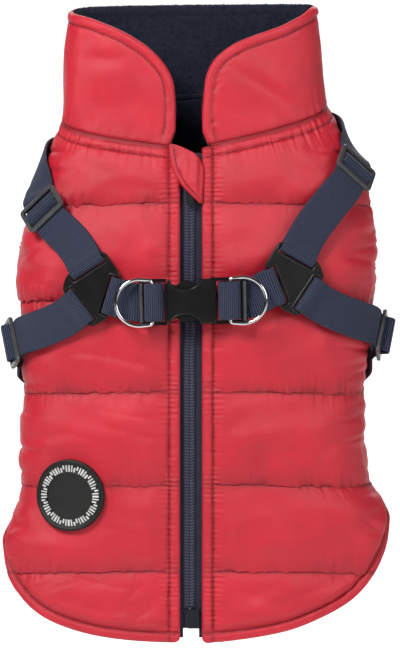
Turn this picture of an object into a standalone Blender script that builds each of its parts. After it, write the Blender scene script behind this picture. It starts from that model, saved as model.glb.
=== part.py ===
"""Quilted dog vest with a harness of webbing, zipped along the back.

The vest keeps the hollow, filled-out form that it has when worn.  +Z runs from the
tail to the head, -Y is the back with the zip, +X is the right of the picture.  The
origin is the centre of the neck opening, level with the collar seam at the zip.

Lengths are millimetres until a mesh is made.  A place on the vest is an angle round
the body (degrees: 0 at the zip, +90 on the right, 180 on the belly) and a height z.
A place on the harness is a distance round the body from the zip and a height z.
"""
import math

import bmesh
import bpy
import numpy as np
from mathutils import Matrix, Vector

MM = 0.001
GAP = 0.3                 # between neighbouring pieces

# ---------------------------------------------------------------- cloth
SHELL = 2.2               # padded shell, without its puffs
LINING = 1.5
COLLAR = 2.0
FLAP = 1.6
SECTION_POWER = 2.35      # 2 is an ellipse, more is flatter on the back and belly
SIDE_PUFF = 2.0           # how far the quilting widens the outline
SEAM_ANGLE = 122.0        # side seam, through the middle of each leg hole
SEAM_HALF_GAP = 0.2       # degrees, about 0.2 mm
LEG_HOLE_HALF = 20.0      # degrees
PLACKET_EDGE = 5.6        # from the zip's middle to the panels' edges
PLACKET_STITCH = 11.3
LINING_EDGE = 10.4

SECTIONS = (              # outline of the vest: half-widths and depths
    # z,    left, right, back, belly
    (-254, 99.5, 105.0, 33.0, 36.0),
    (-205, 99.0, 104.8, 34.5, 38.0),
    (-192, 93.5, 104.0, 35.0, 38.5),
    (-184, 90.5, 101.0, 35.5, 39.0),
    (-172, 89.2, 94.5, 36.0, 39.5),
    (-150, 89.2, 91.0, 36.5, 40.0),
    (-120, 88.0, 91.5, 36.5, 40.0),
    (-90, 89.5, 94.5, 36.5, 40.0),
    (-70, 90.7, 97.0, 36.5, 40.0),
    (-45, 87.5, 96.2, 35.5, 38.5),
    (-30, 84.5, 94.5, 33.5, 36.5),
    (-15, 78.5, 88.5, 31.0, 33.5),
    (0, 73.0, 81.0, 28.0, 30.5),
    (12, 69.5, 76.0, 26.0, 28.0),
    (24, 67.5, 72.0, 25.0, 26.5),
    (45, 66.5, 68.5, 25.0, 26.5),
    (72, 65.0, 67.0, 25.5, 26.5),
)

QUILT_LINES = (-27.0, -76.0, -124.0, -172.0, -217.0)   # z at the zip
QUILT_DROOP = 3.0         # lower at the sides
PUFF_BACK = 3.6
PUFF_SIDE = 2.2
PUFF_BELLY = 2.6

HEM = (                   # lower edge
    # angle, left z, right z
    (0, -254.5, -255.5),
    (15, -253.6, -252.6),
    (28, -251.5, -248.8),
    (42, -246.8, -241.2),
    (54, -240.6, -233.0),
    (65, -232.0, -222.5),
    (76, -222.5, -210.0),
    (84, -211.0, -200.0),
    (92, -200.5, -190.5),
    (105, -190.0, -182.0),
    (125, -178.0, -173.0),
    (180, -167.0, -167.0),
)

RIM_LEFT = (              # free edge of the collar: angle, z, from front corner to throat
    (6.8, 22.0), (7.3, 30.0), (9.0, 37.5), (12.2, 43.5), (16.4, 48.6), (21, 52.8),
    (27, 56.8), (34, 60.4), (44, 63.9), (58, 67.0), (78, 68.6), (120, 70.2), (180, 71.0),
)
RIM_RIGHT = (
    (4.5, 20.0), (5.4, 30.0), (6.6, 37.5), (8.4, 42.5), (11.0, 46.8), (15, 50.6),
    (21, 54.6), (31, 58.6), (45, 62.6), (60, 67.0), (80, 71.4), (120, 71.6), (180, 71.0),
)
COLLAR_ROW_PARTS = (0.0, 0.14, 0.45, 0.8, 1.0)
COLLAR_EXTRA_COLUMNS = (-150.0, -95.0, -67.0, 70.0, 97.0, 150.0)
COLLAR_BULGE = 1.2
COLLAR_EDGE_BACK = 2.2    # degrees that the front edge runs back at the seam
COLLAR_EDGE_REACH = 6.0   # degrees over which that runs out
COLLAR_LINING_DROP = 0.6  # the lining's edge lies this much lower

FLAP_ROWS = (             # chin flap, from the collar seam down to its tip
    # z,   left x, right x
    (2.4, -11.2, -8.4),
    (0.2, -11.2, -2.6),
    (-2.8, -10.9, 2.6),
    (-6.0, -10.4, 5.1),
    (-9.7, -9.7, 6.6),
    (-13.6, -8.2, 6.7),
    (-17.4, -5.9, 6.5),
    (-22.5, -1.2, 6.2),
    (-27.6, 4.2, 6.0),
)
FLAP_SEAT = 1.1           # above the reference surface
FLAP_CROWN = 2.3          # raised over the zip's slider
FLAP_CROWN_HALF_WIDTH, FLAP_CROWN_HALF_HEIGHT, FLAP_CROWN_Z = 4.6, 13.0, -17.5
FLAP_STEPS = 6

# ---------------------------------------------------------------- zip and patch
ZIP_X = -0.7              # middle of the closed chain
ZIP_TOP, ZIP_BOTTOM = -1.5, -247.0
CHAIN_TOP, CHAIN_BOTTOM = -20.6, -236.6
CHAIN_WIDTH = 5.6
CHAIN_THICK = 1.3
TAPE_EDGE = 9.9
TAPE_THICK = 1.2
TAPE_MEETS = 0.15         # half of the slit between the tapes
END_BOX_SIDES, END_BOX_END, END_BOX_OUT = (-1.6, 4.2), -246.8, 0.6
ZIP_SLIDER_Z = -15.0
ZIP_SLIDER_OUTLINE = ((-3.6, 5.2), (-2.2, -5.2), (2.2, -5.2), (3.6, 5.2))
ZIP_SLIDER_HALF, ZIP_SLIDER_LEVEL = 1.6, -0.4
ZIP_TAB = (-1.9, 1.9, -14.0, -1.0)
ZIP_TAB_HALF, ZIP_TAB_LEVEL = 0.5, 1.9
ZIP_BRIDGE = (-1.0, 1.0, -3.6, -1.4)
ZIP_BRIDGE_HALF, ZIP_BRIDGE_LEVEL = 1.0, 1.3
PATCH_X, PATCH_Z = -61.3, -178.2
PATCH_RADIUS = 18.7
PATCH_THICK = 2.0
PATCH_SEAT = 2.0          # the quilting is pressed down to this under the patch
PATCH_RINGS = (           # radius, height of the face there
    (0.0, 0.0), (6.0, 0.0), (12.2, 0.0), (16.4, 0.0), (17.0, 0.7), (PATCH_RADIUS, 0.7),
)
PATCH_SPOKES = 28

# ---------------------------------------------------------------- harness
WEB = 1.3                 # webbing thickness
WEB_WIDTH = 19.6
STRAP_SEAT = 0.7          # lowest layer, above the puffs
LAYER_GAP = 0.4                               # between two layers of one strap
LAYER_1 = GAP + WEB / 2                       # heights of the middle of each layer
LAYER_2 = LAYER_1 + WEB + LAYER_GAP
BAR_HALF = 1.0                                # half-thickness of sliders and ladder bars
BAR_LEVEL = LAYER_2 + WEB / 2 + GAP + BAR_HALF
HUMP_LEVEL = BAR_LEVEL + BAR_HALF + GAP + WEB / 2
PLATE_HALF = 1.3                              # half-thickness of the joiners
PLATE_LEVEL = LAYER_1 + WEB / 2 + GAP + PLATE_HALF
WRAP_LEVEL = PLATE_LEVEL + PLATE_HALF + GAP + WEB / 2
JOINER_BAR = 1.8
JOINER_SLOT = 3.2
SLOT_HALF = 10.2
JOINER_ROUNDING, JOINER_CHAMFER = 2.4, 0.4
SLIDER_HALF = 7.0
SLIDER_WIDTH_HALF = 12.4
SLIDER_ROUNDING, SLIDER_CHAMFER = 2.4, 0.3
SLIDER_SLOT = (0.8, 5.0)                      # from the middle bar to the end bar
SLIDER_ZONE = 9.5                             # the strap is straight this far each way
RING_WIRE = 1.0                               # radius
RING_HALF = 11.95
RING_ARM = 6.5
RING_BAR_HALF = 11.4
RING_CORNER = 1.9
RING_PLACE = 20.0                             # from the buckle's middle to the hinge
RING_LEVEL = BAR_LEVEL + BAR_HALF + GAP + RING_WIRE
RING_TILT = 3.0                               # degrees, resting on the joiner's webbing
RING_HUMP = RING_LEVEL + RING_WIRE + GAP + WEB / 2
BUCKLE_LOW, BUCKLE_HIGH = -12.3, 12.9         # ends of the socket's box
BUCKLE_HALF, BUCKLE_HEIGHT = 3.6, 11.4        # half-thickness and half-height of the box
BUCKLE_MOUTH, BUCKLE_TAIL, BUCKLE_CUT = 9.6, 10.2, 1.0
SCALLOP_X, SCALLOP_HALF, SCALLOP_DEPTH = -3.0, 7.6, 5.0
CAVITY_END, CAVITY_HEIGHT, CAVITY_HALF = 5.2, 9.3, 2.2
LADDER_HEIGHT, LADDER_CORNER, LADDER_CUT = 11.9, 9.0, 0.9
LADDER_SIDE, LADDER_BAR_HALF = 1.0, 1.1
SOCKET_LADDER = dict(end=29.2, inner=10.0, bar=20.0, outer_bar=3.2)
PLUG_LADDER = dict(end=26.8, inner=12.6, bar=19.8, outer_bar=2.4)
SOCKET_SLOTS_FROM, PLUG_SLOTS_FROM = 13.1, 13.6
PRONG_HALF = 1.8
PRONGS = (                # upper half of the plug's prongs and root
    (-14.0, 8.9), (-10.5, 8.9), (-7.6, 8.2), (-5.4, 9.9), (-2.5, 10.8), (0.6, 10.2),
    (2.4, 8.6), (3.4, 6.9), (2.6, 5.6), (-0.5, 5.6), (-6.5, 5.2), (-10.3, 4.6),
    (-10.3, 1.8), (2.8, 1.5),
)

JOINER_CORNERS = (        # left joiner seen from outside, from its middle
    # x,    up
    (7.7, 22.0),          # upper arm, inner end
    (16.6, 9.8),          # inner arm, top
    (9.6, -12.9),         # inner arm, bottom
    (0.5, -17.7),         # lower arm, inner end
    (-14.4, 1.3),         # lower arm, outer end
    (-12.1, 9.2),         # upper arm, outer end
)
JOINER_ARMS = {"upper": (5, 0), "inner": (1, 2), "lower": (3, 4)}
JOINERS = {               # middle of each joiner and its turn in the body's surface
    "left": dict(side=-1, x=-50.3, z=-73.3, turn=0.0),
    "right": dict(side=1, x=52.8, z=-67.7, turn=4.0),
}
STRAPS = {                # slider and hidden end of each side strap: angle, z
    "upper_left": dict(arm="upper", slider=(-59.7, -32.2),
                       behind=((-88.0, -11.0), (-112.0, -5.5), (-150.0, -4.0))),
    "upper_right": dict(arm="upper", slider=(68.3, -13.0),
                        behind=((96.0, 4.0), (118.0, 7.5), (150.0, 6.0))),
    "lower_left": dict(arm="lower", slider=(-80.0, -100.5),
                       behind=((-97.0, -110.5), (-125.0, -119.0), (-166.0, -120.0))),
    "lower_right": dict(arm="lower", slider=(85.0, -96.3),
                        behind=((99.0, -109.0), (125.0, -118.5), (166.0, -120.0))),
}
CENTRE_LINE = (           # middle line of the harness across the back: x, z
    (-34.0, -76.6), (-27.5, -77.7), (-20.0, -77.5), (0.0, -77.0), (22.0, -76.45),
    (27.0, -76.3), (33.4, -74.15),
)

COLOURS = {               # colour, roughness, metallic
    "shell_red": ((0.62, 0.035, 0.055), 0.45, 0.0),
    "lining_navy": ((0.018, 0.021, 0.045), 0.95, 0.0),
    "webbing_navy": ((0.03, 0.036, 0.075), 0.8, 0.0),
    "tape_navy": ((0.035, 0.038, 0.07), 0.85, 0.0),
    "plastic_black": ((0.015, 0.015, 0.014), 0.4, 0.0),
    "rubber_black": ((0.03, 0.03, 0.028), 0.6, 0.0),
    "chrome": ((0.85, 0.85, 0.86), 0.12, 1.0),
}


# ================================================================ small helpers
def curve(rows):
    """Smooth function through (key, value) rows that never overshoots them."""
    keys, values = (np.array(column, float) for column in zip(*rows))
    steps = np.diff(values) / np.diff(keys)
    before, after = steps[:-1], steps[1:]
    same_way = before * after > 0
    slopes = np.zeros_like(values)
    slopes[0], slopes[-1] = steps[0], steps[-1]
    total = np.where(same_way, before + after, 1.0)
    slopes[1:-1] = np.where(same_way, 2 * before * after / total, 0.0)

    def value(key):
        key = np.clip(key, keys[0], keys[-1])
        row = np.clip(np.searchsorted(keys, key, side="right") - 1, 0, len(keys) - 2)
        span = keys[row + 1] - keys[row]
        part = (key - keys[row]) / span
        left = 1 - part
        return (values[row] * (1 + 2 * part) * left ** 2
                + values[row + 1] * (3 - 2 * part) * part ** 2
                + span * part * left * (slopes[row] * left - slopes[row + 1] * part))

    return value


def ease(value, low, high):
    """0 below low, 1 above high, smooth between."""
    part = np.clip((value - low) / (high - low), 0.0, 1.0)
    return part * part * (3 - 2 * part)


def unit(vectors):
    return vectors / np.linalg.norm(vectors, axis=-1, keepdims=True)


# ================================================================ the body's form
LEFT_WIDTH = curve([(z, left - SIDE_PUFF) for z, left, right, back, belly in SECTIONS])
RIGHT_WIDTH = curve([(z, right - SIDE_PUFF) for z, left, right, back, belly in SECTIONS])
BACK_DEPTH = curve([(z, back) for z, left, right, back, belly in SECTIONS])
BELLY_DEPTH = curve([(z, belly) for z, left, right, back, belly in SECTIONS])
HEM_LEFT = curve([(angle, left) for angle, left, right in HEM])
HEM_RIGHT = curve([(angle, right) for angle, left, right in HEM])


def half_width(angle, z):
    return np.where(np.asarray(angle) >= 0, RIGHT_WIDTH(z), LEFT_WIDTH(z))


def body_point(angle, z):
    """Point of the reference surface: the shell's outer face at a quilting line."""
    angle = (np.asarray(angle, float) + 180.0) % 360.0 - 180.0
    turn = np.radians(angle)
    sine = np.abs(np.sin(turn))
    depth = np.where(np.abs(angle) <= 90, BACK_DEPTH(z), BELLY_DEPTH(z))
    x = half_width(angle, z) * np.sin(turn)
    y = -np.sign(np.cos(turn)) * depth * (1 - sine ** SECTION_POWER) ** (1 / SECTION_POWER)
    return np.stack(np.broadcast_arrays(x, y, np.asarray(z, float)), -1)


def body_normal(angle, z):
    round_it = body_point(angle + 0.1, z) - body_point(angle - 0.1, z)
    up_it = body_point(angle, z + 0.1) - body_point(angle, z - 0.1)
    return unit(np.cross(round_it, up_it))


def off_body(angle, z, out):
    """Point of the reference surface moved out along its normal."""
    return body_point(angle, z) + body_normal(angle, z) * np.asarray(out)[..., None]


def angle_of(x, z):
    """Angle of a place on the back, from its distance beside the zip."""
    return np.degrees(np.arcsin(x / half_width(x, z)))


def neck_line(angle):
    half = np.radians(np.asarray(angle, float)) / 2
    return 25.0 * np.abs(np.sin(half)) ** 1.05 + 4.0 * np.sin(2 * half)


def hem_line(angle):
    angle = (np.asarray(angle, float) + 180.0) % 360.0 - 180.0
    return np.where(angle >= 0, HEM_RIGHT(np.abs(angle)), HEM_LEFT(np.abs(angle)))


def quilt_line(row, angle):
    angle = (np.asarray(angle, float) + 180.0) % 360.0 - 180.0
    sideways = np.sin(np.radians(np.minimum(np.abs(angle), 90.0)))
    return QUILT_LINES[row] - QUILT_DROOP * sideways ** 2


def puff_height(angle):
    """Height of the quilting's puffs round the body."""
    angle = np.abs((np.asarray(angle, float) + 180.0) % 360.0 - 180.0)
    to_side = ease(angle, 50.0, 88.0)
    to_belly = ease(angle, 100.0, 140.0)
    return (PUFF_BACK + (PUFF_SIDE - PUFF_BACK) * to_side
            + (PUFF_BELLY - PUFF_SIDE) * to_belly)


def puff(angle, z):
    """How far the quilted shell stands out from the reference surface."""
    lines = [neck_line(angle)] + [quilt_line(row, angle) for row in range(len(QUILT_LINES))]
    hem = hem_line(angle)
    above = [line for line in lines if line > z + 1e-6]
    below = [line for line in lines if line <= z + 1e-6 and line > hem]
    top = min(above) if above else lines[0]
    bottom = max(below) if below else hem
    height = max(top - bottom, 1e-6)
    across = np.clip(1 - (2 * (top - z) / height - 1) ** 2, 0.0, 1.0) ** 0.6
    x, _, _ = body_point(angle, z)
    turned = abs((angle + 180.0) % 360.0 - 180.0)
    from_zip = 1.0 if turned > 90 else np.clip((abs(x) - PLACKET_STITCH) / 10.0, 0, 1) ** 0.6
    from_seam = np.clip(abs(turned - SEAM_ANGLE) / 8.0, 0, 1) ** 0.6
    out = puff_height(angle) * across * from_zip * from_seam * min(1.0, height / 25.0)
    if turned < 90:
        near_patch = 1 - ease(math.hypot(x - PATCH_X, z - PATCH_Z), PATCH_RADIUS + 1, 30.0)
        out += (PATCH_SEAT - out) * near_patch
        out = max(out, 0.8 * (1 - ease(abs(x), PLACKET_STITCH - 1.0, PLACKET_STITCH + 3.0)))
    return float(out)


# ================================================================ meshes
def new_object(name, points, faces, colour, frame=None, smooth=False):
    """Object from points in millimetres; frame places it and makes them local."""
    mesh = bpy.data.meshes.new(name)
    mesh.from_pydata([tuple(float(c) * MM for c in point) for point in points], [], faces)
    shape = bmesh.new()
    shape.from_mesh(mesh)
    bmesh.ops.recalc_face_normals(shape, faces=shape.faces)
    shape.to_mesh(mesh)
    shape.free()
    if smooth:
        mesh.shade_smooth()
        mesh.set_sharp_from_angle(angle=math.radians(40))
    thing = bpy.data.objects.new(name, mesh)
    bpy.context.scene.collection.objects.link(thing)
    if frame is not None:
        thing.matrix_world = frame
    if colour:
        mesh.materials.append(material(colour))
    return thing


def material(name):
    made = bpy.data.materials.get(name)
    if made is None:
        made = bpy.data.materials.new(name)
        made.use_nodes = True
        colour, roughness, metallic = COLOURS[name]
        shader = made.node_tree.nodes["Principled BSDF"]
        shader.inputs["Base Color"].default_value = (*colour, 1.0)
        shader.inputs["Roughness"].default_value = roughness
        shader.inputs["Metallic"].default_value = metallic
        made.diffuse_color = (*colour, 1.0)
    return made


def prism(name, outline, half, colour, frame, chamfer=0.0, smooth=False):
    """Flat plate with the outline, half thick each way, its rims chamfered."""
    inner = offset_loop(outline, -chamfer) if chamfer else outline
    rings = [(inner, -half), (inner, half)]
    if chamfer:
        rings = [(inner, -half), (outline, -half + chamfer),
                 (outline, half - chamfer), (inner, half)]
    count = len(outline)
    points = [(x, y, level) for ring, level in rings for x, y in ring]
    faces = [tuple(range(count)), tuple(range(len(points) - count, len(points)))]
    for ring in range(len(rings) - 1):
        for place in range(count):
            after = (place + 1) % count
            start = ring * count
            faces.append((start + place, start + after,
                          start + count + after, start + count + place))
    return new_object(name, points, faces, colour, frame, smooth)


def offset_loop(loop, distance):
    """Closed outline moved out by the distance, in by a negative one."""
    loop = np.array(loop, float)
    edges = unit(np.roll(loop, -1, axis=0) - loop)
    before = np.roll(edges, 1, axis=0)
    outward = np.stack([edges[:, 1] + before[:, 1], -edges[:, 0] - before[:, 0]], -1)
    area = np.sum(loop[:, 0] * np.roll(loop[:, 1], -1) - np.roll(loop[:, 0], -1) * loop[:, 1])
    outward = unit(outward) * np.sign(area)
    lean = np.sqrt(np.clip((1 + np.sum(edges * before, axis=-1)) / 2, 0.25, 1.0))
    return loop + outward * (distance / lean)[:, None]


def rounded(corners, radius, steps=3):
    """Outline whose corners are rounded; radius is one value or one for each corner."""
    corners = [np.array(corner, float) for corner in corners]
    radii = radius if isinstance(radius, (list, tuple)) else [radius] * len(corners)
    loop = []
    for place, corner in enumerate(corners):
        to_last = corners[place - 1] - corner
        to_next = corners[(place + 1) % len(corners)] - corner
        reach = min(radii[place], 0.48 * np.linalg.norm(to_last),
                    0.48 * np.linalg.norm(to_next))
        if reach <= 0:
            loop.append(corner)
            continue
        start, end = corner + unit(to_last) * reach, corner + unit(to_next) * reach
        for step in range(steps + 1):
            part = step / steps
            loop.append(start * (1 - part) ** 2 + 2 * corner * part * (1 - part)
                        + end * part ** 2)
    return [tuple(point) for point in loop]


def box_outline(low_x, high_x, low_y, high_y):
    return [(low_x, low_y), (high_x, low_y), (high_x, high_y), (low_x, high_y)]


def combine(thing, tool, operation):
    """Boolean with a hidden tool object."""
    tool.hide_render = True
    tool.display_type = "WIRE"
    modifier = thing.modifiers.new(tool.name, "BOOLEAN")
    modifier.operation = operation
    modifier.solver = "EXACT"
    modifier.object = tool


def cut_slot(thing, name, outline, frame, half=8.0):
    combine(thing, prism(name, outline, half, None, frame), "DIFFERENCE")


# ================================================================ cloth walls
def sew_columns(name, columns, colour, back_rows=None):
    """Closed wall from columns of (outer, inner) points, listed from top to bottom.

    Columns share their rows from the top.  Where one ends sooner at a slanting hem,
    the longer column's last points meet the shorter one's hem point.  A strap that
    turns back over itself says which rows run back, so that its layers are divided
    along the same diagonals.
    """
    points = []
    index = []
    for column in columns:
        index.append([(len(points) + 2 * row, len(points) + 2 * row + 1)
                      for row in range(len(column))])
        for outer, inner in column:
            points += [outer, inner]
    faces = []
    for first, second in zip(index, index[1:]):
        shared = min(len(first), len(second)) - 1
        for layer in (0, 1):
            for row in range(shared - 1 if back_rows is None else shared):
                quad = [first[row][layer], first[row + 1][layer],
                        second[row + 1][layer], second[row][layer]]
                if back_rows is None:
                    faces.append(quad)
                    continue
                if back_rows[row]:
                    quad = quad[1:] + quad[:1]
                faces += [(quad[0], quad[1], quad[2]), (quad[0], quad[2], quad[3])]
            if back_rows is not None:
                continue
            long, short = (first, second) if len(first) >= len(second) else (second, first)
            hem = short[-1][layer]
            for row in range(shared, len(long)):
                faces.append((long[row - 1][layer], long[row][layer], hem))
            faces.append((long[shared - 1][layer], hem, short[shared - 1][layer]))
        for row in (0, -1):
            faces.append((*first[row], *second[row][::-1]))
    for column in (index[0], index[-1]):
        for upper, lower in zip(column, column[1:]):
            faces.append((*upper, *lower[::-1]))
    return new_object(name, points, faces, colour, smooth=True)


ROW_PARTS = {             # rows between two quilting lines, as parts of the way down
    "plain": (0.0, 0.22, 0.5, 0.78),
    "end": (0.0, 0.33, 0.67),
    "leg": tuple((1 - math.cos(math.pi * step / 6)) / 2 for step in range(6)),
}
ROW_BANDS = ("end", "leg", "plain", "plain", "plain", "end")
BACK_COLUMNS = (0.0, 0.07, 0.16, 0.27, 0.38, 0.49, 0.595, 0.69, 0.78, 0.865, 0.94, 1.0)
BELLY_COLUMNS = tuple(step / 10 for step in range(11))
SHORTEST_ROW = 2.6        # mm: a row closer to the hem than this is left out


def rows_of(angle):
    """Heights of the rows at an angle, each with its part of the leg hole's half-width."""
    lines = [neck_line(angle) - 0.2]
    lines += [quilt_line(row, angle) for row in range(len(QUILT_LINES))]
    hem = float(hem_line(angle))
    lines.append(hem)
    rows = []
    for band, kind in enumerate(ROW_BANDS):
        for part in ROW_PARTS[kind]:
            z = float(lines[band] + part * (lines[band + 1] - lines[band]))
            notch = math.sqrt(max(0.0, 1 - (1 - 2 * part) ** 2)) if kind == "leg" else 0.0
            if z > hem + SHORTEST_ROW and lines[band] > hem + SHORTEST_ROW:
                rows.append((z, notch))
    rows.append((hem, 0.0))
    return rows


def wall_column(places, outer, inner):
    """Points of a column: outer and inner are offsets, or functions of angle and z."""
    column = []
    for angle, z in places:
        out = outer(angle, z) if callable(outer) else outer
        column.append((off_body(angle, z, out), off_body(angle, z, inner)))
    return column


def back_panel(name, side, outer, inner, edges, colour):
    """One half of the back, from the zip to the side seam."""
    columns = []
    for x in edges:
        rows = rows_of(side * math.degrees(math.asin(x / 88.0)))
        places = [(float(angle_of(side * x, z)), z) for z, notch in rows]
        columns.append(wall_column(places, outer, inner))
    for part in BACK_COLUMNS[1:]:
        nominal = 8.0 + part * (SEAM_ANGLE - 8.0)
        places = []
        for z, notch in rows_of(side * nominal):
            start = abs(float(angle_of(side * edges[-1], z)))
            end = SEAM_ANGLE - SEAM_HALF_GAP - LEG_HOLE_HALF * notch
            places.append((side * (start + part * (end - start)), z))
        columns.append(wall_column(places, outer, inner))
    return sew_columns(name, columns, colour)


def belly_panel(name, outer, inner, colour):
    columns = []
    for part in BELLY_COLUMNS:
        nominal = SEAM_ANGLE + part * (360 - 2 * SEAM_ANGLE)
        places = []
        for z, notch in rows_of(nominal):
            start = SEAM_ANGLE + SEAM_HALF_GAP + LEG_HOLE_HALF * notch
            places.append((start + part * (360 - 2 * start), z))
        columns.append(wall_column(places, outer, inner))
    return sew_columns(name, columns, colour)


def collar(name, outer, inner, drop, colour):
    """Stand-up collar, open over the zip; drop lowers its free edge."""
    places = [(-angle, z) for angle, z in RIM_LEFT]
    places += [(angle, z) for angle, z in reversed(RIM_RIGHT[:-1])]
    rim_left, rim_right = curve(RIM_LEFT), curve(RIM_RIGHT)
    angles = [angle for angle, z in places] + list(COLLAR_EXTRA_COLUMNS)
    left = sorted((a for a in angles if -180 < a < 0), reverse=True)
    right = sorted((a for a in angles if 0 < a < 180), reverse=True)
    columns = []
    for angle in left + [180.0] + right:
        rim = float((rim_left if angle < 0 else rim_right)(abs(angle))) - drop
        front = (RIM_LEFT if angle < 0 else RIM_RIGHT)[0][0]
        back_shift = COLLAR_EDGE_BACK * math.exp(-(abs(angle) - front) / COLLAR_EDGE_REACH)
        column = []
        for part in COLLAR_ROW_PARTS:
            at = angle + math.copysign(back_shift * (1 - min(1.0, 2.4 * part)) if part < 0.42
                                       else 0.0, angle)
            foot = float(neck_line(at)) + 0.2
            z = rim + (foot - rim) * (1 - part)
            bulge = COLLAR_BULGE * math.sin(math.pi * min(part, 0.97)) if outer == 0 else 0.0
            column.append((off_body(at, z, outer + bulge), off_body(at, z, inner)))
        columns.append(column[::-1])
    return sew_columns(name, columns, colour)


def lay_grid(name, rows, outer, inner, colour):
    """Closed wall over a grid of (x, z) places on the back."""
    columns = []
    for place in range(len(rows[0])):
        column = []
        for row in rows:
            x, z = row[place]
            angle = float(angle_of(x, z))
            column.append((off_body(angle, z, outer(x, z)), off_body(angle, z, inner(x, z))))
        columns.append(column)
    return sew_columns(name, columns, colour)


def chin_flap():
    def seat(x, z):
        beside = (x - ZIP_X) / FLAP_CROWN_HALF_WIDTH
        below = (z - FLAP_CROWN_Z) / FLAP_CROWN_HALF_HEIGHT
        return FLAP_SEAT + FLAP_CROWN * math.exp(-beside ** 4 - below ** 4)

    rows = []
    for z, left, right in FLAP_ROWS:
        rows.append([(left + (right - left) * step / FLAP_STEPS, z)
                     for step in range(FLAP_STEPS + 1)])
    return lay_grid("chin_flap", rows, lambda x, z: seat(x, z) + FLAP, seat, "shell_red")


def zip_parts():
    """Two tapes under the panels' edges, the closed chain on them, and the end box."""
    heights = np.linspace(ZIP_TOP, ZIP_BOTTOM, 26)
    tape_out = -SHELL - GAP
    tape_in = tape_out - TAPE_THICK
    for side, label in ((-1, "left"), (1, "right")):
        inner_edge = ZIP_X + side * TAPE_MEETS
        rows = [[(inner_edge, z), (side * TAPE_EDGE, z)] for z in heights]
        lay_grid("zip_tape_" + label, rows, lambda x, z: tape_out, lambda x, z: tape_in,
                 "tape_navy")
    heights = np.linspace(CHAIN_TOP, CHAIN_BOTTOM, 24)
    edges = (ZIP_X - CHAIN_WIDTH / 2, ZIP_X + CHAIN_WIDTH / 2)
    lay_grid("zip_chain", [[(x, z) for x in edges] for z in heights],
             lambda x, z: tape_out + GAP + CHAIN_THICK, lambda x, z: tape_out + GAP,
             "tape_navy")
    rows = [[(x, z) for x in END_BOX_SIDES] for z in (CHAIN_BOTTOM - GAP, END_BOX_END)]
    lay_grid("zip_end_box", rows, lambda x, z: END_BOX_OUT, lambda x, z: tape_out + GAP,
             "plastic_black")


def zip_slider():
    """Slider with its tab hanging down, under the chin flap."""
    frame = surface_frame(0.0, ZIP_SLIDER_Z, base=0.0)
    body = prism("zip_slider", rounded(ZIP_SLIDER_OUTLINE, 1.2), ZIP_SLIDER_HALF,
                 "plastic_black", frame @ shift(ZIP_X, 0, ZIP_SLIDER_LEVEL))
    tab = rounded(box_outline(*ZIP_TAB), 1.2)
    combine(body, prism("zip_slider_tab", tab, ZIP_TAB_HALF, None,
                        frame @ shift(ZIP_X, 0, ZIP_TAB_LEVEL)), "UNION")
    combine(body, prism("zip_slider_bridge", box_outline(*ZIP_BRIDGE), ZIP_BRIDGE_HALF, None,
                        frame @ shift(ZIP_X, 0, ZIP_BRIDGE_LEVEL)), "UNION")


def patch():
    """Round rubber badge that follows the pressed-down quilting."""
    rings, spokes = PATCH_RINGS, PATCH_SPOKES
    centre = float(distance_round(float(angle_of(PATCH_X, PATCH_Z)), PATCH_Z))
    points, faces = [], []
    for layer in (0, 1):
        for radius, raised in rings:
            for spoke in range(spokes if radius else 1):
                turn = 2 * math.pi * spoke / spokes
                along, z = centre + radius * math.cos(turn), PATCH_Z + radius * math.sin(turn)
                angle = float(angle_at(along, z))
                out = PATCH_SEAT + 2 * GAP + (PATCH_THICK + raised if layer == 0 else 0.0)
                points.append(off_body(angle, z, out))
    per_layer = 1 + spokes * (len(rings) - 1)
    for layer in (0, 1):
        start = layer * per_layer
        for spoke in range(spokes):
            after = (spoke + 1) % spokes
            faces.append((start, start + 1 + spoke, start + 1 + after))
            for ring in range(len(rings) - 2):
                near, far = start + 1 + ring * spokes, start + 1 + (ring + 1) * spokes
                faces.append((near + spoke, far + spoke, far + after, near + after))
    rim = 1 + spokes * (len(rings) - 2)
    for spoke in range(spokes):
        after = (spoke + 1) % spokes
        faces.append((rim + spoke, per_layer + rim + spoke,
                      per_layer + rim + after, rim + after))
    return new_object("patch", points, faces, "rubber_black", smooth=True)


# ================================================================ the harness' ground
ROUND_Z = np.arange(-264.0, 85.0, 4.0)
ROUND_ANGLES = np.arange(-180.0, 181.0, 2.0)


def over_puffs(angle):
    return puff_height(angle) + STRAP_SEAT


def round_table():
    """Distance round the body at each height and angle, over the puffs, from the zip."""
    angles, heights = np.meshgrid(ROUND_ANGLES, ROUND_Z)
    places = off_body(angles, heights, over_puffs(angles))
    steps = np.linalg.norm(np.diff(places, axis=1), axis=-1)
    table = np.concatenate([np.zeros((len(ROUND_Z), 1)), np.cumsum(steps, axis=1)], axis=1)
    middle = len(ROUND_ANGLES) // 2
    return table - table[:, middle:middle + 1]


ROUND = round_table()


def round_row(z):
    place = np.clip((z - ROUND_Z[0]) / 4.0, 0, len(ROUND_Z) - 1.001)
    row = int(place)
    return ROUND[row] * (row + 1 - place) + ROUND[row + 1] * (place - row)


def distance_round(angle, z):
    return np.interp(angle, ROUND_ANGLES, round_row(z))


def angle_at(along, z):
    return np.interp(along, round_row(z), ROUND_ANGLES)


def ground(along, z):
    """Point over the puffs, from its distance round the body and its height."""
    angle = float(angle_at(along, z))
    return off_body(angle, z, float(over_puffs(angle)))


def ground_frame(along, z):
    """Directions round, up and out at a place over the puffs."""
    round_it = unit(ground(along + 1.0, z) - ground(along - 1.0, z))
    out = unit(np.cross(round_it, ground(along, z + 1.0) - ground(along, z - 1.0)))
    return round_it, np.cross(out, round_it), out


def shift(x, y, z):
    return Matrix.Translation((x * MM, y * MM, z * MM))


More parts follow.
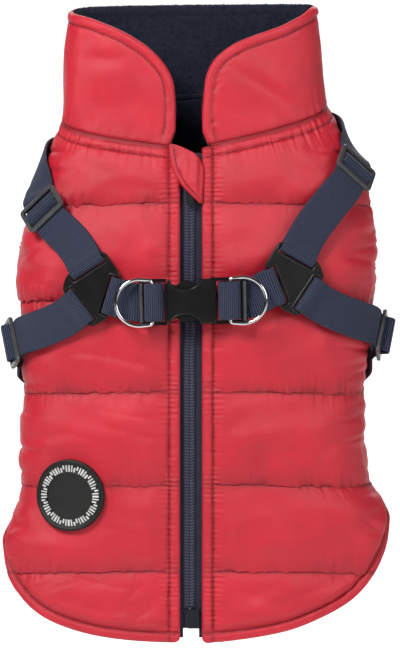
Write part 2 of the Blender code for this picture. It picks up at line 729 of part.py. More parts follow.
def frame_matrix(origin, x_axis, y_axis, z_axis):
    matrix = Matrix(np.column_stack([x_axis, y_axis, z_axis]).tolist()).to_4x4()
    matrix.translation = Vector(origin) * MM
    return matrix


def surface_frame(x, z, base):
    """Frame on the back: x to the right, y up, z out, base above the reference."""
    angle = float(angle_of(x, z))
    out = body_normal(angle, z)
    right = unit(np.cross(np.array([0.0, 0.0, 1.0]), out))
    return frame_matrix(off_body(angle, z, base), right, np.cross(out, right), out)


# ================================================================ straps
class Route:
    """A strap's line over the puffs, pulled taut, straight where hard parts sit on it.

    Places are (distance round, z).  u is the length along the line, 0 at one of the
    places; s runs across the strap and h out from the line.  Pins are straight
    stretches: place number to (low, high, origin, ahead, out).
    """

    STEP = 1.5
    BLEND = 12.0          # length over which the line comes off a pin
    MOST_SAG, MOST_RISE = 2.5, 2.0

    def __init__(self, places, zero_at, pins):
        places = np.array(places, float)
        steps = np.linalg.norm(np.diff(places, axis=0), axis=1)
        lengths = np.concatenate([[0.0], np.cumsum(steps)])
        fine = np.arange(0, lengths[-1], 0.25)
        line = np.stack([curve(list(zip(lengths, column)))(fine) for column in places.T], -1)
        steps = np.linalg.norm(np.diff(line, axis=0), axis=1)
        run = np.concatenate([[0.0], np.cumsum(steps)])
        marks = np.interp(lengths, fine, run)
        planned = np.arange(0.0, run[-1], self.STEP)
        flat = np.stack([np.interp(planned, run, column) for column in line.T], -1)
        self.settle(planned, marks, flat, pins)
        true = np.concatenate([[0.0], np.cumsum(np.linalg.norm(np.diff(self.line, axis=0),
                                                               axis=1))])
        self.marks = np.interp(marks, planned, true)
        self.u = true - self.marks[zero_at]
        self.marks = self.marks - self.marks[zero_at]
        self.bends = self.u[self.bends]

    def settle(self, planned, marks, flat, pins):
        """Line, directions and edges at each sample."""
        base = np.array([ground(along, z) for along, z in flat])
        frames = [ground_frame(along, z) for along, z in flat]
        out = np.array([frame[2] for frame in frames])
        pinned = np.zeros(len(planned), bool)
        away = np.full(len(planned), 99.0)
        pulls = np.zeros_like(base)
        self.bends = []
        normals = out.copy()
        for place, (low, high, origin, ahead, normal) in pins.items():
            u = planned - marks[place]
            inside = (u >= low) & (u <= high)
            straight = origin + ahead * u[:, None]
            here = np.maximum(0.0, np.maximum(low - u, u - high))
            near = 1 - ease(here, 0.0, self.BLEND)
            ends = np.where(inside)[0][[0, -1]]
            self.bends += list(ends)
            for end, beyond in ((ends[0], u < low), (ends[1], u > high)):
                pull = straight[end] - base[end]
                pulls[beyond] += (near[:, None] * pull)[beyond]
            normals = normals * (1 - near[:, None]) + normal * near[:, None]
            base[inside], out[inside] = straight[inside], normal
            pinned |= inside
            away = np.minimum(away, here)
        pulls -= np.sum(pulls * out, axis=-1, keepdims=True) * out
        base = base + np.where(pinned[:, None], 0.0, pulls)
        lift = np.zeros(len(planned))
        for _ in range(2500):
            line = base + out * lift[:, None]
            change = np.sum(((line[:-2] + line[2:]) / 2 - line[1:-1]) * out[1:-1], axis=-1)
            lift[1:-1] = np.where(pinned[1:-1], 0.0, np.maximum(0.0, lift[1:-1] + change))
        self.line = base + out * lift[:, None]
        tangent = unit(np.gradient(self.line, axis=0))
        self.normal = unit(normals - np.sum(normals * tangent, axis=-1, keepdims=True) * tangent)
        self.across = unit(np.cross(self.normal, tangent))
        way = unit(np.gradient(flat, axis=0))
        follow = ease(away, 0.5, 9.0) * (1 - ease(lift, 0.2, 1.5))
        self.edges = []
        for s in (-WEB_WIDTH / 2, WEB_WIDTH / 2):
            beside = np.array([ground(along - turn[1] * s, z + turn[0] * s)
                               for (along, z), turn in zip(flat, way)])
            sag = np.sum((beside - self.line - self.across * s) * self.normal, axis=-1)
            sag = np.clip(sag, -self.MOST_SAG, self.MOST_RISE) * follow
            for _ in range(8):
                sag[1:-1] = (sag[:-2] + 2 * sag[1:-1] + sag[2:]) / 4
                sag[pinned] = 0.0
            self.edges.append(sag)

    def at(self, u, columns):
        return np.array([np.interp(u, self.u, column) for column in columns.T])

    def directions(self, u):
        """Ahead, across and out at u."""
        out = unit(self.at(u, self.normal))
        across = self.at(u, self.across)
        across = unit(across - out * (across @ out))
        return np.cross(across, out), across, out

    def point(self, u, s, h):
        _, across, out = self.directions(u)
        sag = np.interp(u, self.u, self.edges[int(s > 0)]) * abs(s) / (WEB_WIDTH / 2)
        return self.at(u, self.line) + across * s + out * (h + sag)

    def frame(self, u):
        """Frame at u: x along the route, y across it, z out."""
        return frame_matrix(self.at(u, self.line), *self.directions(u))


def thicken(middle, thick):
    """Upper and lower lines of a band whose middle line is a list of (u, h)."""
    middle = np.array(middle, float)
    steps = unit(np.diff(middle, axis=0))
    before = np.vstack([steps[:1], steps])
    after = np.vstack([steps, steps[-1:]])
    lean = np.sqrt(np.clip((1 + np.sum(before * after, axis=-1)) / 2, 0.5, 1.0))
    normal = unit(np.stack([-(before + after)[:, 1], (before + after)[:, 0]], -1))
    reach = normal * (thick / 2 / lean)[:, None]
    return middle + reach, middle - reach


def fill_in(middle, bends, step=4.0):
    """The same line with its long stretches divided at the same places in each layer."""
    line = [middle[0]]
    for start, end in zip(middle, middle[1:]):
        low, high = sorted((start[0], end[0]))
        marks = [step * count for count in range(math.ceil(low / step), int(high // step) + 1)]
        marks = [mark for mark in marks if np.min(np.abs(bends - mark)) > 1.2] + list(bends)
        marks = [mark for mark in marks if low + 0.5 < mark < high - 0.5]
        for mark in sorted(marks, reverse=end[0] < start[0]):
            part = (mark - start[0]) / (end[0] - start[0])
            line.append((mark, start[1] + (end[1] - start[1]) * part))
        line.append(end)
    return line


def webbing(name, route, middle):
    """Strap from its middle line in u and h along a route."""
    line = fill_in(middle, route.bends)
    upper, lower = thicken(line, WEB)
    columns = []
    for s in (-WEB_WIDTH / 2, 0.0, WEB_WIDTH / 2):
        columns.append([(route.point(top[0], s, top[1]), route.point(low[0], s, low[1]))
                        for top, low in zip(upper, lower)])
    runs_back = [after[0] < before[0] for before, after in zip(line, line[1:])]
    return sew_columns(name, columns, "webbing_navy", runs_back)


def turn_round_bar(top, bottom, steps=7):
    """Half turn of webbing round a joiner's bar at u = 0, from the top layer down."""
    radius = (top - bottom) / 2
    turns = [math.pi * step / steps for step in range(steps + 1)]
    return [(-0.6 - radius * math.sin(turn), bottom + radius + radius * math.cos(turn))
            for turn in turns]


def side_strap_line(slider, end):
    """Middle line: round the joiner's bar, over the slider's bar and on to the end."""
    line = [(slider - 1.0, LAYER_1), (6.0, LAYER_1), (1.0, LAYER_1)]
    line += turn_round_bar(WRAP_LEVEL, LAYER_1)[::-1]
    line += [(1.2, WRAP_LEVEL), (3.4, (WRAP_LEVEL + LAYER_2) / 2), (6.0, LAYER_2)]
    line += [(slider - 7.2, LAYER_2)]
    line += hump_line(slider, HUMP_LEVEL, 4.3, 1.3)
    line += [(slider + 7.4, LAYER_2), (slider + 13.0, LAYER_1), (end, LAYER_1)]
    return line


def hump_line(middle, level, foot, head):
    """Webbing that climbs through one slot, over a bar and down through the next."""
    rising = [(-foot - 0.9, LAYER_2), (-foot, LAYER_2 + 0.3), (-(foot + head) / 2, BAR_LEVEL),
              (-head - 0.1, level - 0.4), (-head + 0.8, level)]
    return ([(middle + u, h) for u, h in rising]
            + [(middle - u, h) for u, h in reversed(rising)])


# ================================================================ hard parts of the harness
def joiner_corners(side, turn):
    """Corners of a joiner; the right one is mirrored and turned."""
    corners = [(x * -side, up) for x, up in JOINER_CORNERS]
    angle = math.radians(turn)
    return [(x * math.cos(angle) - up * math.sin(angle),
             x * math.sin(angle) + up * math.cos(angle)) for x, up in corners]


def arm_of(corners, arm):
    """Middle, outward direction and length direction of an arm's outer edge."""
    first, second = (np.array(corners[place]) for place in JOINER_ARMS[arm])
    middle = (first + second) / 2
    along = unit(second - first)
    out = np.array([along[1], -along[0]])
    if out @ middle < 0:
        out = -out
    return middle, out, along


def joiner(label, side, x, z, turn):
    """Three-slot plate; returns its plane and its corners for the straps."""
    corners = joiner_corners(side, turn)
    along = float(distance_round(float(angle_of(x, z)), z))
    round_it, up, out = ground_frame(along, z)
    origin = ground(along, z)
    frame = frame_matrix(origin + out * PLATE_LEVEL, round_it, up, out)
    plate = prism("joiner_" + label, rounded(corners, JOINER_ROUNDING, 2), PLATE_HALF,
                  "plastic_black", frame, chamfer=JOINER_CHAMFER)
    for arm in JOINER_ARMS:
        middle, outward, length = arm_of(corners, arm)
        near = middle - outward * JOINER_BAR
        far = near - outward * JOINER_SLOT
        slot = [near - length * SLOT_HALF, near + length * SLOT_HALF,
                far + length * SLOT_HALF, far - length * SLOT_HALF]
        cut_slot(plate, "joiner_{}_{}_slot".format(label, arm), rounded(slot, 0.9, 2), frame)
    return dict(along=along, z=z, corners=corners, origin=origin, axes=(round_it, up, out))


def bar_of(plate, arm):
    """Middle of an arm's bar and the way out of it, in the plate's own plane."""
    middle, outward, _ = arm_of(plate["corners"], arm)
    return middle - outward * JOINER_BAR / 2, outward


def pin_on(plate, arm, low, high, way=1):
    """Straight stretch of a strap over an arm's bar."""
    bar, outward = bar_of(plate, arm)
    round_it, up, out = plate["axes"]
    origin = plate["origin"] + round_it * bar[0] + up * bar[1]
    return low, high, origin, way * (round_it * outward[0] + up * outward[1]), out


def slider_plate(label, frame):
    """Flat frame with a middle bar that the webbing climbs over."""
    outline = rounded(box_outline(-SLIDER_HALF, SLIDER_HALF,
                                  -SLIDER_WIDTH_HALF, SLIDER_WIDTH_HALF), SLIDER_ROUNDING)
    plate = prism("slider_" + label, outline, BAR_HALF, "plastic_black",
                  frame @ shift(0, 0, BAR_LEVEL), chamfer=SLIDER_CHAMFER)
    for side in (-1, 1):
        ends = sorted(side * end for end in SLIDER_SLOT)
        slot = box_outline(*ends, -SLOT_HALF, SLOT_HALF)
        cut_slot(plate, "slider_{}_slot_{}".format(label, side), rounded(slot, 0.6, 2),
                 frame @ shift(0, 0, BAR_LEVEL))


def side_strap(label, arm, slider, behind, plate):
    """Strap from a joiner's arm over a slider to its sewn end, with that slider."""
    bar, outward = bar_of(plate, arm)
    start = np.array([plate["along"], plate["z"]]) + bar
    spots = [(float(distance_round(angle, z)), z) for angle, z in (slider, *behind)]
    places = [start - outward * 7.0, start, start + outward * 8.0, *spots]
    pins = {1: pin_on(plate, arm, -8.0, 7.0)}
    first = Route(places, 1, pins)
    reach = first.marks[3]
    ahead, _, out = first.directions(reach)
    pins[3] = (-SLIDER_ZONE, SLIDER_ZONE, first.at(reach, first.line), ahead, out)
    route = Route(places, 1, pins)
    reach = float(route.marks[3])
    slider_plate(label, route.frame(reach))
    webbing("strap_" + label, route, side_strap_line(reach, float(route.u[-1]) - 1.0))


def ladder(end, inner, bar, outer_bar):
    """Outline and slots of a ladder end: from inner out to end, with its middle bar."""
    outline = [(inner, -LADDER_HEIGHT), (end - LADDER_CUT, -LADDER_HEIGHT),
               (end, -LADDER_CORNER), (end, LADDER_CORNER),
               (end - LADDER_CUT, LADDER_HEIGHT), (inner, LADDER_HEIGHT)]
    slots = ((inner + LADDER_SIDE, bar - LADDER_BAR_HALF),
             (bar + LADDER_BAR_HALF, end - outer_bar))
    return outline, slots


def mirrored(half):
    """Closed outline from its upper half, listed from left to right."""
    return list(half) + [(x, -y) for x, y in reversed(half)]


def buckle(frame):
    """Side-release buckle: a socket on the right and a plug with two prongs in it."""
    level = frame @ shift(0, 0, BAR_LEVEL)
    scallop = [(SCALLOP_X + SCALLOP_HALF * math.cos(turn),
                BUCKLE_HEIGHT - SCALLOP_DEPTH * math.sin(turn))
               for turn in (math.pi * step / 8 for step in range(8, -1, -1))]
    half = [(BUCKLE_LOW, BUCKLE_MOUTH), (BUCKLE_LOW + BUCKLE_CUT, BUCKLE_HEIGHT)] + scallop
    half += [(BUCKLE_HIGH - BUCKLE_CUT, BUCKLE_HEIGHT), (BUCKLE_HIGH, BUCKLE_TAIL)]
    socket = prism("buckle_socket", mirrored(half)[::-1], BUCKLE_HALF, "plastic_black",
                   level, chamfer=0.5)
    outline, slots = ladder(**SOCKET_LADDER)
    combine(socket, prism("buckle_socket_ladder", outline, BAR_HALF, None, level), "UNION")
    for number, (low, high) in enumerate(slots):
        slot = box_outline(max(low, SOCKET_SLOTS_FROM), high, -SLOT_HALF, SLOT_HALF)
        cut_slot(socket, "buckle_socket_slot_{}".format(number), rounded(slot, 0.6, 2),
                 level, 2.0)
    cavity = box_outline(BUCKLE_LOW - 1.0, CAVITY_END, -CAVITY_HEIGHT, CAVITY_HEIGHT)
    cut_slot(socket, "buckle_socket_cavity", cavity, level, CAVITY_HALF)

    outline, slots = ladder(**PLUG_LADDER)
    plug = prism("buckle_plug", [(-x, y) for x, y in outline], BAR_HALF, "plastic_black",
                 level)
    combine(plug, prism("buckle_plug_prongs", mirrored(PRONGS)[::-1], PRONG_HALF, None,
                        level), "UNION")
    for number, (low, high) in enumerate(slots):
        slot = box_outline(-high, -max(low, PLUG_SLOTS_FROM), -SLOT_HALF, SLOT_HALF)
        cut_slot(plug, "buckle_plug_slot_{}".format(number), rounded(slot, 0.6, 2),
                 level, 2.5)


def d_ring(label, side, frame):
    """Wire ring hinged on its straight bar, lying outwards on the strap."""
    turns = [math.radians(-90 + 180 * step / 14) for step in range(15)]
    arc = [(RING_ARM + RING_HALF * math.cos(turn), RING_HALF * math.sin(turn))
           for turn in turns]
    corners = [(0.0, -RING_BAR_HALF)] + arc + [(0.0, RING_BAR_HALF)]
    radii = [RING_CORNER] + [0.0] * len(arc) + [RING_CORNER]
    path = np.array(rounded(corners, radii, 3))
    ahead = unit(np.roll(path, -1, axis=0) - np.roll(path, 1, axis=0))
    sides = 8
    points, faces = [], []
    for (x, y), (dx, dy) in zip(path, ahead):
        for place in range(sides):
            turn = 2 * math.pi * (place + 0.5) / sides
            reach = RING_WIRE * math.cos(turn)
            points.append((x + dy * reach, y - dx * reach, RING_WIRE * math.sin(turn)))
    count = len(path)
    for station in range(count):
        for place in range(sides):
            after, beside = (station + 1) % count, (place + 1) % sides
            faces.append((station * sides + place, station * sides + beside,
                          after * sides + beside, after * sides + place))
    hinge = frame @ shift(side * RING_PLACE, 0, RING_LEVEL)
    if side < 0:
        hinge = hinge @ Matrix.Rotation(math.pi, 4, "Z")
    hinge = hinge @ Matrix.Rotation(-math.radians(RING_TILT), 4, "Y")
    return new_object("d_ring_" + label, points, faces, "chrome", hinge, smooth=True)


def centre_strap_line(side, ladder_end, joiner_bar):
    """Middle line of one centre strap: ladder end, joiner's bar and back.

    It comes up through the ladder's inner slot, over the bar and the ring's straight
    side, and down through the outer slot.
    """
    end, bar, outer_bar = (ladder_end[key] for key in ("end", "bar", "outer_bar"))
    down = end - outer_bar - WEB / 2 - 0.5
    start, finish = end + 3.2, end + 5.6
    rising = [(17.4, LAYER_1), (15.6, LAYER_1 + 0.45), (14.65, LAYER_2), (14.5, BAR_LEVEL + 1.0),
              (15.2, BAR_LEVEL + 3.0), (17.2, RING_HUMP - 0.15)]
    falling = [(down - 1.1, RING_HUMP - 0.6), (down - 0.1, RING_HUMP - 2.0),
               (down, BAR_LEVEL), (down + 0.5, LAYER_2 + 0.4), (down + 1.4, LAYER_2)]
    around = [(joiner_bar - 3.0, (WRAP_LEVEL + LAYER_2) / 2), (joiner_bar - 1.2, WRAP_LEVEL)]
    around += [(joiner_bar - u, h) for u, h in turn_round_bar(WRAP_LEVEL, LAYER_1)]
    around += [(joiner_bar - 1.0, LAYER_1)]
    line = [(start, LAYER_1), *rising, (bar, RING_HUMP), *falling, (start, LAYER_2),
            (finish, LAYER_2), *around, (finish, LAYER_1)]
    return [(side * u, h) for u, h in line]


def harness():
    """All webbing and hard parts, joined from the two plates outwards and inwards."""
    plates = {}
    for label, place in JOINERS.items():
        plates[label] = joiner(label, **place)
    for label, strap in STRAPS.items():
        side_strap(label, strap["arm"], strap["slider"], strap["behind"],
                   plates[label.split("_")[1]])
    line = [(float(distance_round(float(angle_of(x, z)), z)), z) for x, z in CENTRE_LINE]
    ends = {}
    for label, plate in plates.items():
        bar, outward = bar_of(plate, "inner")
        bar = np.array([plate["along"], plate["z"]]) + bar
        ends[label] = [bar - outward * 7, bar, bar + outward * 3]
    places = [*ends["left"], *line, *ends["right"][::-1]]
    middle, last = 3 + len(CENTRE_LINE) // 2, len(places) - 2
    pins = {1: pin_on(plates["left"], "inner", -7.0, 4.0),
            last: pin_on(plates["right"], "inner", -3.2, 7.0, way=-1)}
    first = Route(places, middle, pins)
    ahead, _, out = first.directions(0.0)
    pins[middle] = (-27.2, 28.6, first.at(0.0, first.line), ahead, out)
    route = Route(places, middle, pins)
    frame = route.frame(0)
    buckle(frame)
    d_ring("left", -1, frame)
    d_ring("right", 1, frame)
    webbing("strap_centre_left", route,
            centre_strap_line(-1, PLUG_LADDER, -float(route.marks[1])))
    webbing("strap_centre_right", route,
            centre_strap_line(1, SOCKET_LADDER, float(route.marks[last])))


# ================================================================ the vest
def vest():
    """Every cloth piece, the zip and the patch."""
    lining_out = -SHELL - GAP
    shell_edges = (PLACKET_EDGE, PLACKET_STITCH)
    lining_edges = (LINING_EDGE, LINING_EDGE + 2.6)
    for side, label in ((-1, "left"), (1, "right")):
        back_panel("back_panel_" + label, side, puff, -SHELL, shell_edges, "shell_red")
        back_panel("lining_back_" + label, side, lining_out, lining_out - LINING,
                   lining_edges, "lining_navy")
    belly_panel("belly_panel", puff, -SHELL, "shell_red")
    belly_panel("lining_belly", lining_out, lining_out - LINING, "lining_navy")
    collar("collar_outer", 0.0, -COLLAR, 0.0, "shell_red")
    collar("collar_lining", -COLLAR - GAP, -COLLAR - GAP - LINING, COLLAR_LINING_DROP,
           "lining_navy")
    chin_flap()
    zip_parts()
    zip_slider()
    patch()


def main():
    for thing in list(bpy.data.objects):
        bpy.data.objects.remove(thing, do_unlink=True)
    vest()
    harness()


main()
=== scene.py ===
"""Looks of the quilted dog vest: cloth, fleece, webbing, zip, patch and stitching."""
import math

import bmesh
import bpy
import numpy as np
from mathutils import Matrix, Vector, noise


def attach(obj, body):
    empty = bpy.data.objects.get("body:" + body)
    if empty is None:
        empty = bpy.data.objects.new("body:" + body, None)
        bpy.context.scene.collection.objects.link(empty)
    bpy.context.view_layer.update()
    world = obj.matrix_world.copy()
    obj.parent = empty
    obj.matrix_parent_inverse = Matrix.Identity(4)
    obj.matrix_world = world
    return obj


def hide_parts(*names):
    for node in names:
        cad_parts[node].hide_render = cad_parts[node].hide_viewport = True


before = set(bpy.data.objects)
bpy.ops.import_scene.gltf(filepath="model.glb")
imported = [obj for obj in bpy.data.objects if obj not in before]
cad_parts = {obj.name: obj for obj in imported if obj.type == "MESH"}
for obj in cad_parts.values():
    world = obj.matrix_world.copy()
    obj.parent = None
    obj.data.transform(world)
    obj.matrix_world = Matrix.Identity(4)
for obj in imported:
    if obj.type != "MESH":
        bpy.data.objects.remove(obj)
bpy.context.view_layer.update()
BODY = "vest"
MM = 0.001
GAP = 0.3
MERGE = 0.01              # points of a wall closer than this are one point
PILE, RIM_PILE = 1.9, 1.2  # length of the fleece's fibres, and of those on the collar's rim
SIDES = ((-1, "left", 1.5), (1, "right", 51.5))     # sign of x, name, seed of the noise
BELLY_SEED = 101.5

# ---------------------------------------------------------------- the vest's form, mm
SHELL, LINING, COLLAR, FLAP = 2.2, 1.5, 2.0, 1.6
SECTION_POWER = 2.35
SIDE_PUFF = 2.0
SEAM_ANGLE, SEAM_HALF_GAP, LEG_HOLE_HALF = 122.0, 0.2, 20.0
PLACKET_EDGE, PLACKET_STITCH, LINING_EDGE = 5.6, 11.3, 10.4
NECK_STITCH, HEM_STITCH, COLLAR_STITCH = 5.5, 4.9, 5.2     # from the edge that they follow
SECTIONS = (
    # z,    left, right, back, belly
    (-254, 99.5, 105.0, 33.0, 36.0),
    (-205, 99.0, 104.8, 34.5, 38.0),
    (-192, 93.5, 104.0, 35.0, 38.5),
    (-184, 90.5, 101.0, 35.5, 39.0),
    (-172, 89.2, 94.5, 36.0, 39.5),
    (-150, 89.2, 91.0, 36.5, 40.0),
    (-120, 88.0, 91.5, 36.5, 40.0),
    (-90, 89.5, 94.5, 36.5, 40.0),
    (-70, 90.7, 97.0, 36.5, 40.0),
    (-45, 87.5, 96.2, 35.5, 38.5),
    (-30, 84.5, 94.5, 33.5, 36.5),
    (-15, 78.5, 88.5, 31.0, 33.5),
    (0, 73.0, 81.0, 28.0, 30.5),
    (12, 69.5, 76.0, 26.0, 28.0),
    (24, 67.5, 72.0, 25.0, 26.5),
    (45, 66.5, 68.5, 25.0, 26.5),
    (72, 65.0, 67.0, 25.5, 26.5),
)
QUILT_LINES = (-27.0, -76.0, -124.0, -172.0, -217.0)
QUILT_DROOP = 3.0
PUFF_BACK, PUFF_SIDE, PUFF_BELLY = 3.6, 2.2, 2.6
HEM = (
    # angle, left z, right z
    (0, -254.5, -255.5),
    (15, -253.6, -252.6),
    (28, -251.5, -248.8),
    (42, -246.8, -241.2),
    (54, -240.6, -233.0),
    (65, -232.0, -222.5),
    (76, -222.5, -210.0),
    (84, -211.0, -200.0),
    (92, -200.5, -190.5),
    (105, -190.0, -182.0),
    (125, -178.0, -173.0),
    (180, -167.0, -167.0),
)
RIM_LEFT = (
    (6.8, 22.0), (7.3, 30.0), (9.0, 37.5), (12.2, 43.5), (16.4, 48.6), (21, 52.8),
    (27, 56.8), (34, 60.4), (44, 63.9), (58, 67.2), (78, 69.2), (120, 71.6), (180, 72.6),
)
RIM_RIGHT = (
    (4.5, 20.0), (5.4, 30.0), (6.6, 37.5), (8.4, 42.5), (11.0, 46.8), (15, 50.6),
    (21, 54.6), (31, 58.6), (45, 62.8), (60, 67.6), (80, 72.4), (120, 73.0), (180, 72.6),
)
COLLAR_FRONT_LEFT, COLLAR_FRONT_RIGHT = 6.8, 4.5           # angles of the front edges
COLLAR_BULGE, COLLAR_EDGE_BACK = 1.2, 2.2
FLAP_ROWS = (
    # z,   left x, right x
    (2.4, -11.2, -8.4), (0.2, -11.2, -2.6), (-2.8, -10.9, 2.6), (-6.0, -10.4, 5.1),
    (-9.7, -9.7, 6.6), (-13.6, -8.2, 6.7), (-17.4, -5.9, 6.5), (-22.5, -1.2, 6.2),
    (-27.6, 4.2, 6.0),
)
FLAP_SEAT, FLAP_CROWN = 1.1, 2.3
FLAP_STITCH, FLAP_LEFT_SLANT = 2.2, 0.86
ZIP_TOP, ZIP_BOTTOM, TAPE_EDGE, TAPE_THICK, TAPE_MEETS = -1.5, -247.0, 9.9, 1.2, 0.15
ZIP_X, CHAIN_TOP, CHAIN_BOTTOM, CHAIN_WIDTH = -0.7, -20.6, -236.6, 5.6
PATCH_X, PATCH_Z, PATCH_RADIUS, PATCH_THICK, PATCH_SEAT = -61.3, -178.2, 18.7, 2.0, 2.0
PATCH_ROW = 3             # the line of quilting that the patch interrupts

# ---------------------------------------------------------------- the harness, mm
WEB, WEB_WIDTH, STRAP_SEAT = 1.3, 19.6, 0.7
LAYER_1 = GAP + WEB / 2
LAYER_2 = LAYER_1 + WEB + 0.4
BAR_HALF = 1.0
BAR_LEVEL = LAYER_2 + WEB / 2 + GAP + BAR_HALF
HUMP_LEVEL = BAR_LEVEL + BAR_HALF + GAP + WEB / 2
PLATE_HALF = 1.3
PLATE_LEVEL = LAYER_1 + WEB / 2 + GAP + PLATE_HALF
WRAP_LEVEL = PLATE_LEVEL + PLATE_HALF + GAP + WEB / 2
JOINER_BAR, JOINER_SLOT, SLOT_HALF = 1.8, 3.2, 10.3
SLIDER_ZONE, BUCKLE_ZONE = 9.5, (-27.2, 28.6)   # the webbing runs straight under these
RING_WIRE, RING_HALF, RING_ARM, RING_BAR_HALF = 1.0, 11.95, 6.5, 11.4
RING_PLACE, RING_TILT = 20.0, 3.0
RING_LEVEL = BAR_LEVEL + BAR_HALF + GAP + RING_WIRE
RING_HUMP = RING_LEVEL + RING_WIRE + GAP + WEB / 2
JOINER_CORNERS = (
    (7.7, 22.0), (16.6, 9.8), (9.6, -12.9), (0.5, -17.7), (-14.4, 1.3), (-12.1, 9.2),
)
JOINER_ARMS = {"upper": (5, 0), "inner": (1, 2), "lower": (3, 4)}
JOINERS = {
    "left": dict(side=-1, x=-50.3, z=-73.3, turn=0.0),
    "right": dict(side=1, x=52.8, z=-67.7, turn=4.0),
}
STRAPS = {
    "upper_left": dict(arm="upper", bulge=0.6, slider=(-59.7, -32.2),
                       behind=((-88.0, -11.0), (-112.0, -5.5), (-150.0, -4.0))),
    "upper_right": dict(arm="upper", bulge=0.6, slider=(68.3, -13.0),
                        behind=((96.0, 4.0), (118.0, 7.5), (150.0, 6.0))),
    "lower_left": dict(arm="lower", bulge=1.6, slider=(-80.0, -100.5),
                       behind=((-97.0, -110.5), (-125.0, -119.0), (-166.0, -120.0))),
    "lower_right": dict(arm="lower", bulge=3.0, slider=(85.0, -96.3),
                        behind=((99.0, -109.0), (125.0, -118.5), (166.0, -120.0))),
}
CENTRE_LINE = (
    (-34.0, -76.6), (-27.5, -77.7), (-20.0, -77.5), (0.0, -77.0), (22.0, -76.45),
    (27.0, -76.3), (33.4, -74.15),
)


# ================================================================ numbers
def curve(rows):
    """Smooth function through (key, value) rows that never overshoots them."""
    keys, values = (np.array(column, float) for column in zip(*rows))
    steps = np.diff(values) / np.diff(keys)
    before, after = steps[:-1], steps[1:]
    same_way = before * after > 0
    slopes = np.zeros_like(values)
    slopes[0], slopes[-1] = steps[0], steps[-1]
    total = np.where(same_way, before + after, 1.0)
    slopes[1:-1] = np.where(same_way, 2 * before * after / total, 0.0)

    def value(key):
        key = np.clip(key, keys[0], keys[-1])
        row = np.clip(np.searchsorted(keys, key, side="right") - 1, 0, len(keys) - 2)
        span = keys[row + 1] - keys[row]
        part = (key - keys[row]) / span
        left = 1 - part
        return (values[row] * (1 + 2 * part) * left ** 2
                + values[row + 1] * (3 - 2 * part) * part ** 2
                + span * part * left * (slopes[row] * left - slopes[row + 1] * part))

    return value


def ease(value, low, high):
    part = np.clip((value - low) / (high - low), 0.0, 1.0)
    return part * part * (3 - 2 * part)


def unit(vectors):
    return vectors / np.linalg.norm(vectors, axis=-1, keepdims=True)


def run_along(line):
    """Distance of each point of a line from its start, along the line."""
    return np.concatenate([[0.0], np.cumsum(np.linalg.norm(np.diff(line, axis=0), axis=-1))])


def bell(value, width):
    return np.exp(-(value / width) ** 2)


def rough(u, v, seed=0.0):
    """Smooth noise from -1 to 1 over arrays."""
    u, v = np.broadcast_arrays(np.asarray(u, float), np.asarray(v, float))
    flat = [noise.noise((a, b, seed)) for a, b in zip(u.ravel(), v.ravel())]
    return np.array(flat).reshape(u.shape)


# ================================================================ body surface
LEFT_WIDTH, RIGHT_WIDTH, BACK_DEPTH, BELLY_DEPTH = (
    curve([(row[0], row[column] - puff) for row in SECTIONS])
    for column, puff in ((1, SIDE_PUFF), (2, SIDE_PUFF), (3, 0.0), (4, 0.0)))
HEM_LEFT, HEM_RIGHT = (curve([(row[0], row[column]) for row in HEM]) for column in (1, 2))


def wrapped(angle):
    return (np.asarray(angle, float) + 180.0) % 360.0 - 180.0


def half_width(angle, z):
    return np.where(wrapped(angle) >= 0, RIGHT_WIDTH(z), LEFT_WIDTH(z))


def body_point(angle, z):
    angle = wrapped(angle)
    turn = np.radians(angle)
    sine = np.abs(np.sin(turn))
    depth = np.where(np.abs(angle) <= 90, BACK_DEPTH(z), BELLY_DEPTH(z))
    x = half_width(angle, z) * np.sin(turn)
    y = -np.sign(np.cos(turn)) * depth * (1 - sine ** SECTION_POWER) ** (1 / SECTION_POWER)
    return np.stack(np.broadcast_arrays(x, y, np.asarray(z, float)), -1)


def body_normal(angle, z):
    round_it = body_point(angle + 0.1, z) - body_point(angle - 0.1, z)
    up_it = body_point(angle, z + 0.1) - body_point(angle, z - 0.1)
    return unit(np.cross(round_it, up_it))


ROUND_ARC = np.linspace(-180.0, 180.0, 361)
ARC = run_along(body_point(ROUND_ARC, -100.0))
ARC = ARC - ARC[180]


def arc_of(angle):
    """Distance round the body from the middle of the back, about."""
    return np.interp(wrapped(angle), ROUND_ARC, ARC)


def off_body(angle, z, out):
    return body_point(angle, z) + body_normal(angle, z) * np.asarray(out)[..., None]


def angle_of(x, z):
    return np.degrees(np.arcsin(np.clip(x / half_width(x, z), -1, 1)))


def neck_line(angle):
    half = np.radians(np.asarray(angle, float)) / 2
    return 25.0 * np.abs(np.sin(half)) ** 1.05 + 4.0 * np.sin(2 * half)


def hem_line(angle):
    angle = wrapped(angle)
    return np.where(angle >= 0, HEM_RIGHT(np.abs(angle)), HEM_LEFT(np.abs(angle)))


def quilt_line(row, angle):
    sideways = np.sin(np.radians(np.minimum(np.abs(wrapped(angle)), 90.0)))
    return QUILT_LINES[row] - QUILT_DROOP * sideways ** 2


def puff_height(angle):
    angle = np.abs(wrapped(angle))
    to_side, to_belly = ease(angle, 50.0, 88.0), ease(angle, 100.0, 140.0)
    return (PUFF_BACK + (PUFF_SIDE - PUFF_BACK) * to_side
            + (PUFF_BELLY - PUFF_SIDE) * to_belly)


# ================================================================ meshes and materials
def put_in_scene(name, data):
    thing = bpy.data.objects.new(name, data)
    bpy.context.scene.collection.objects.link(thing)
    return thing


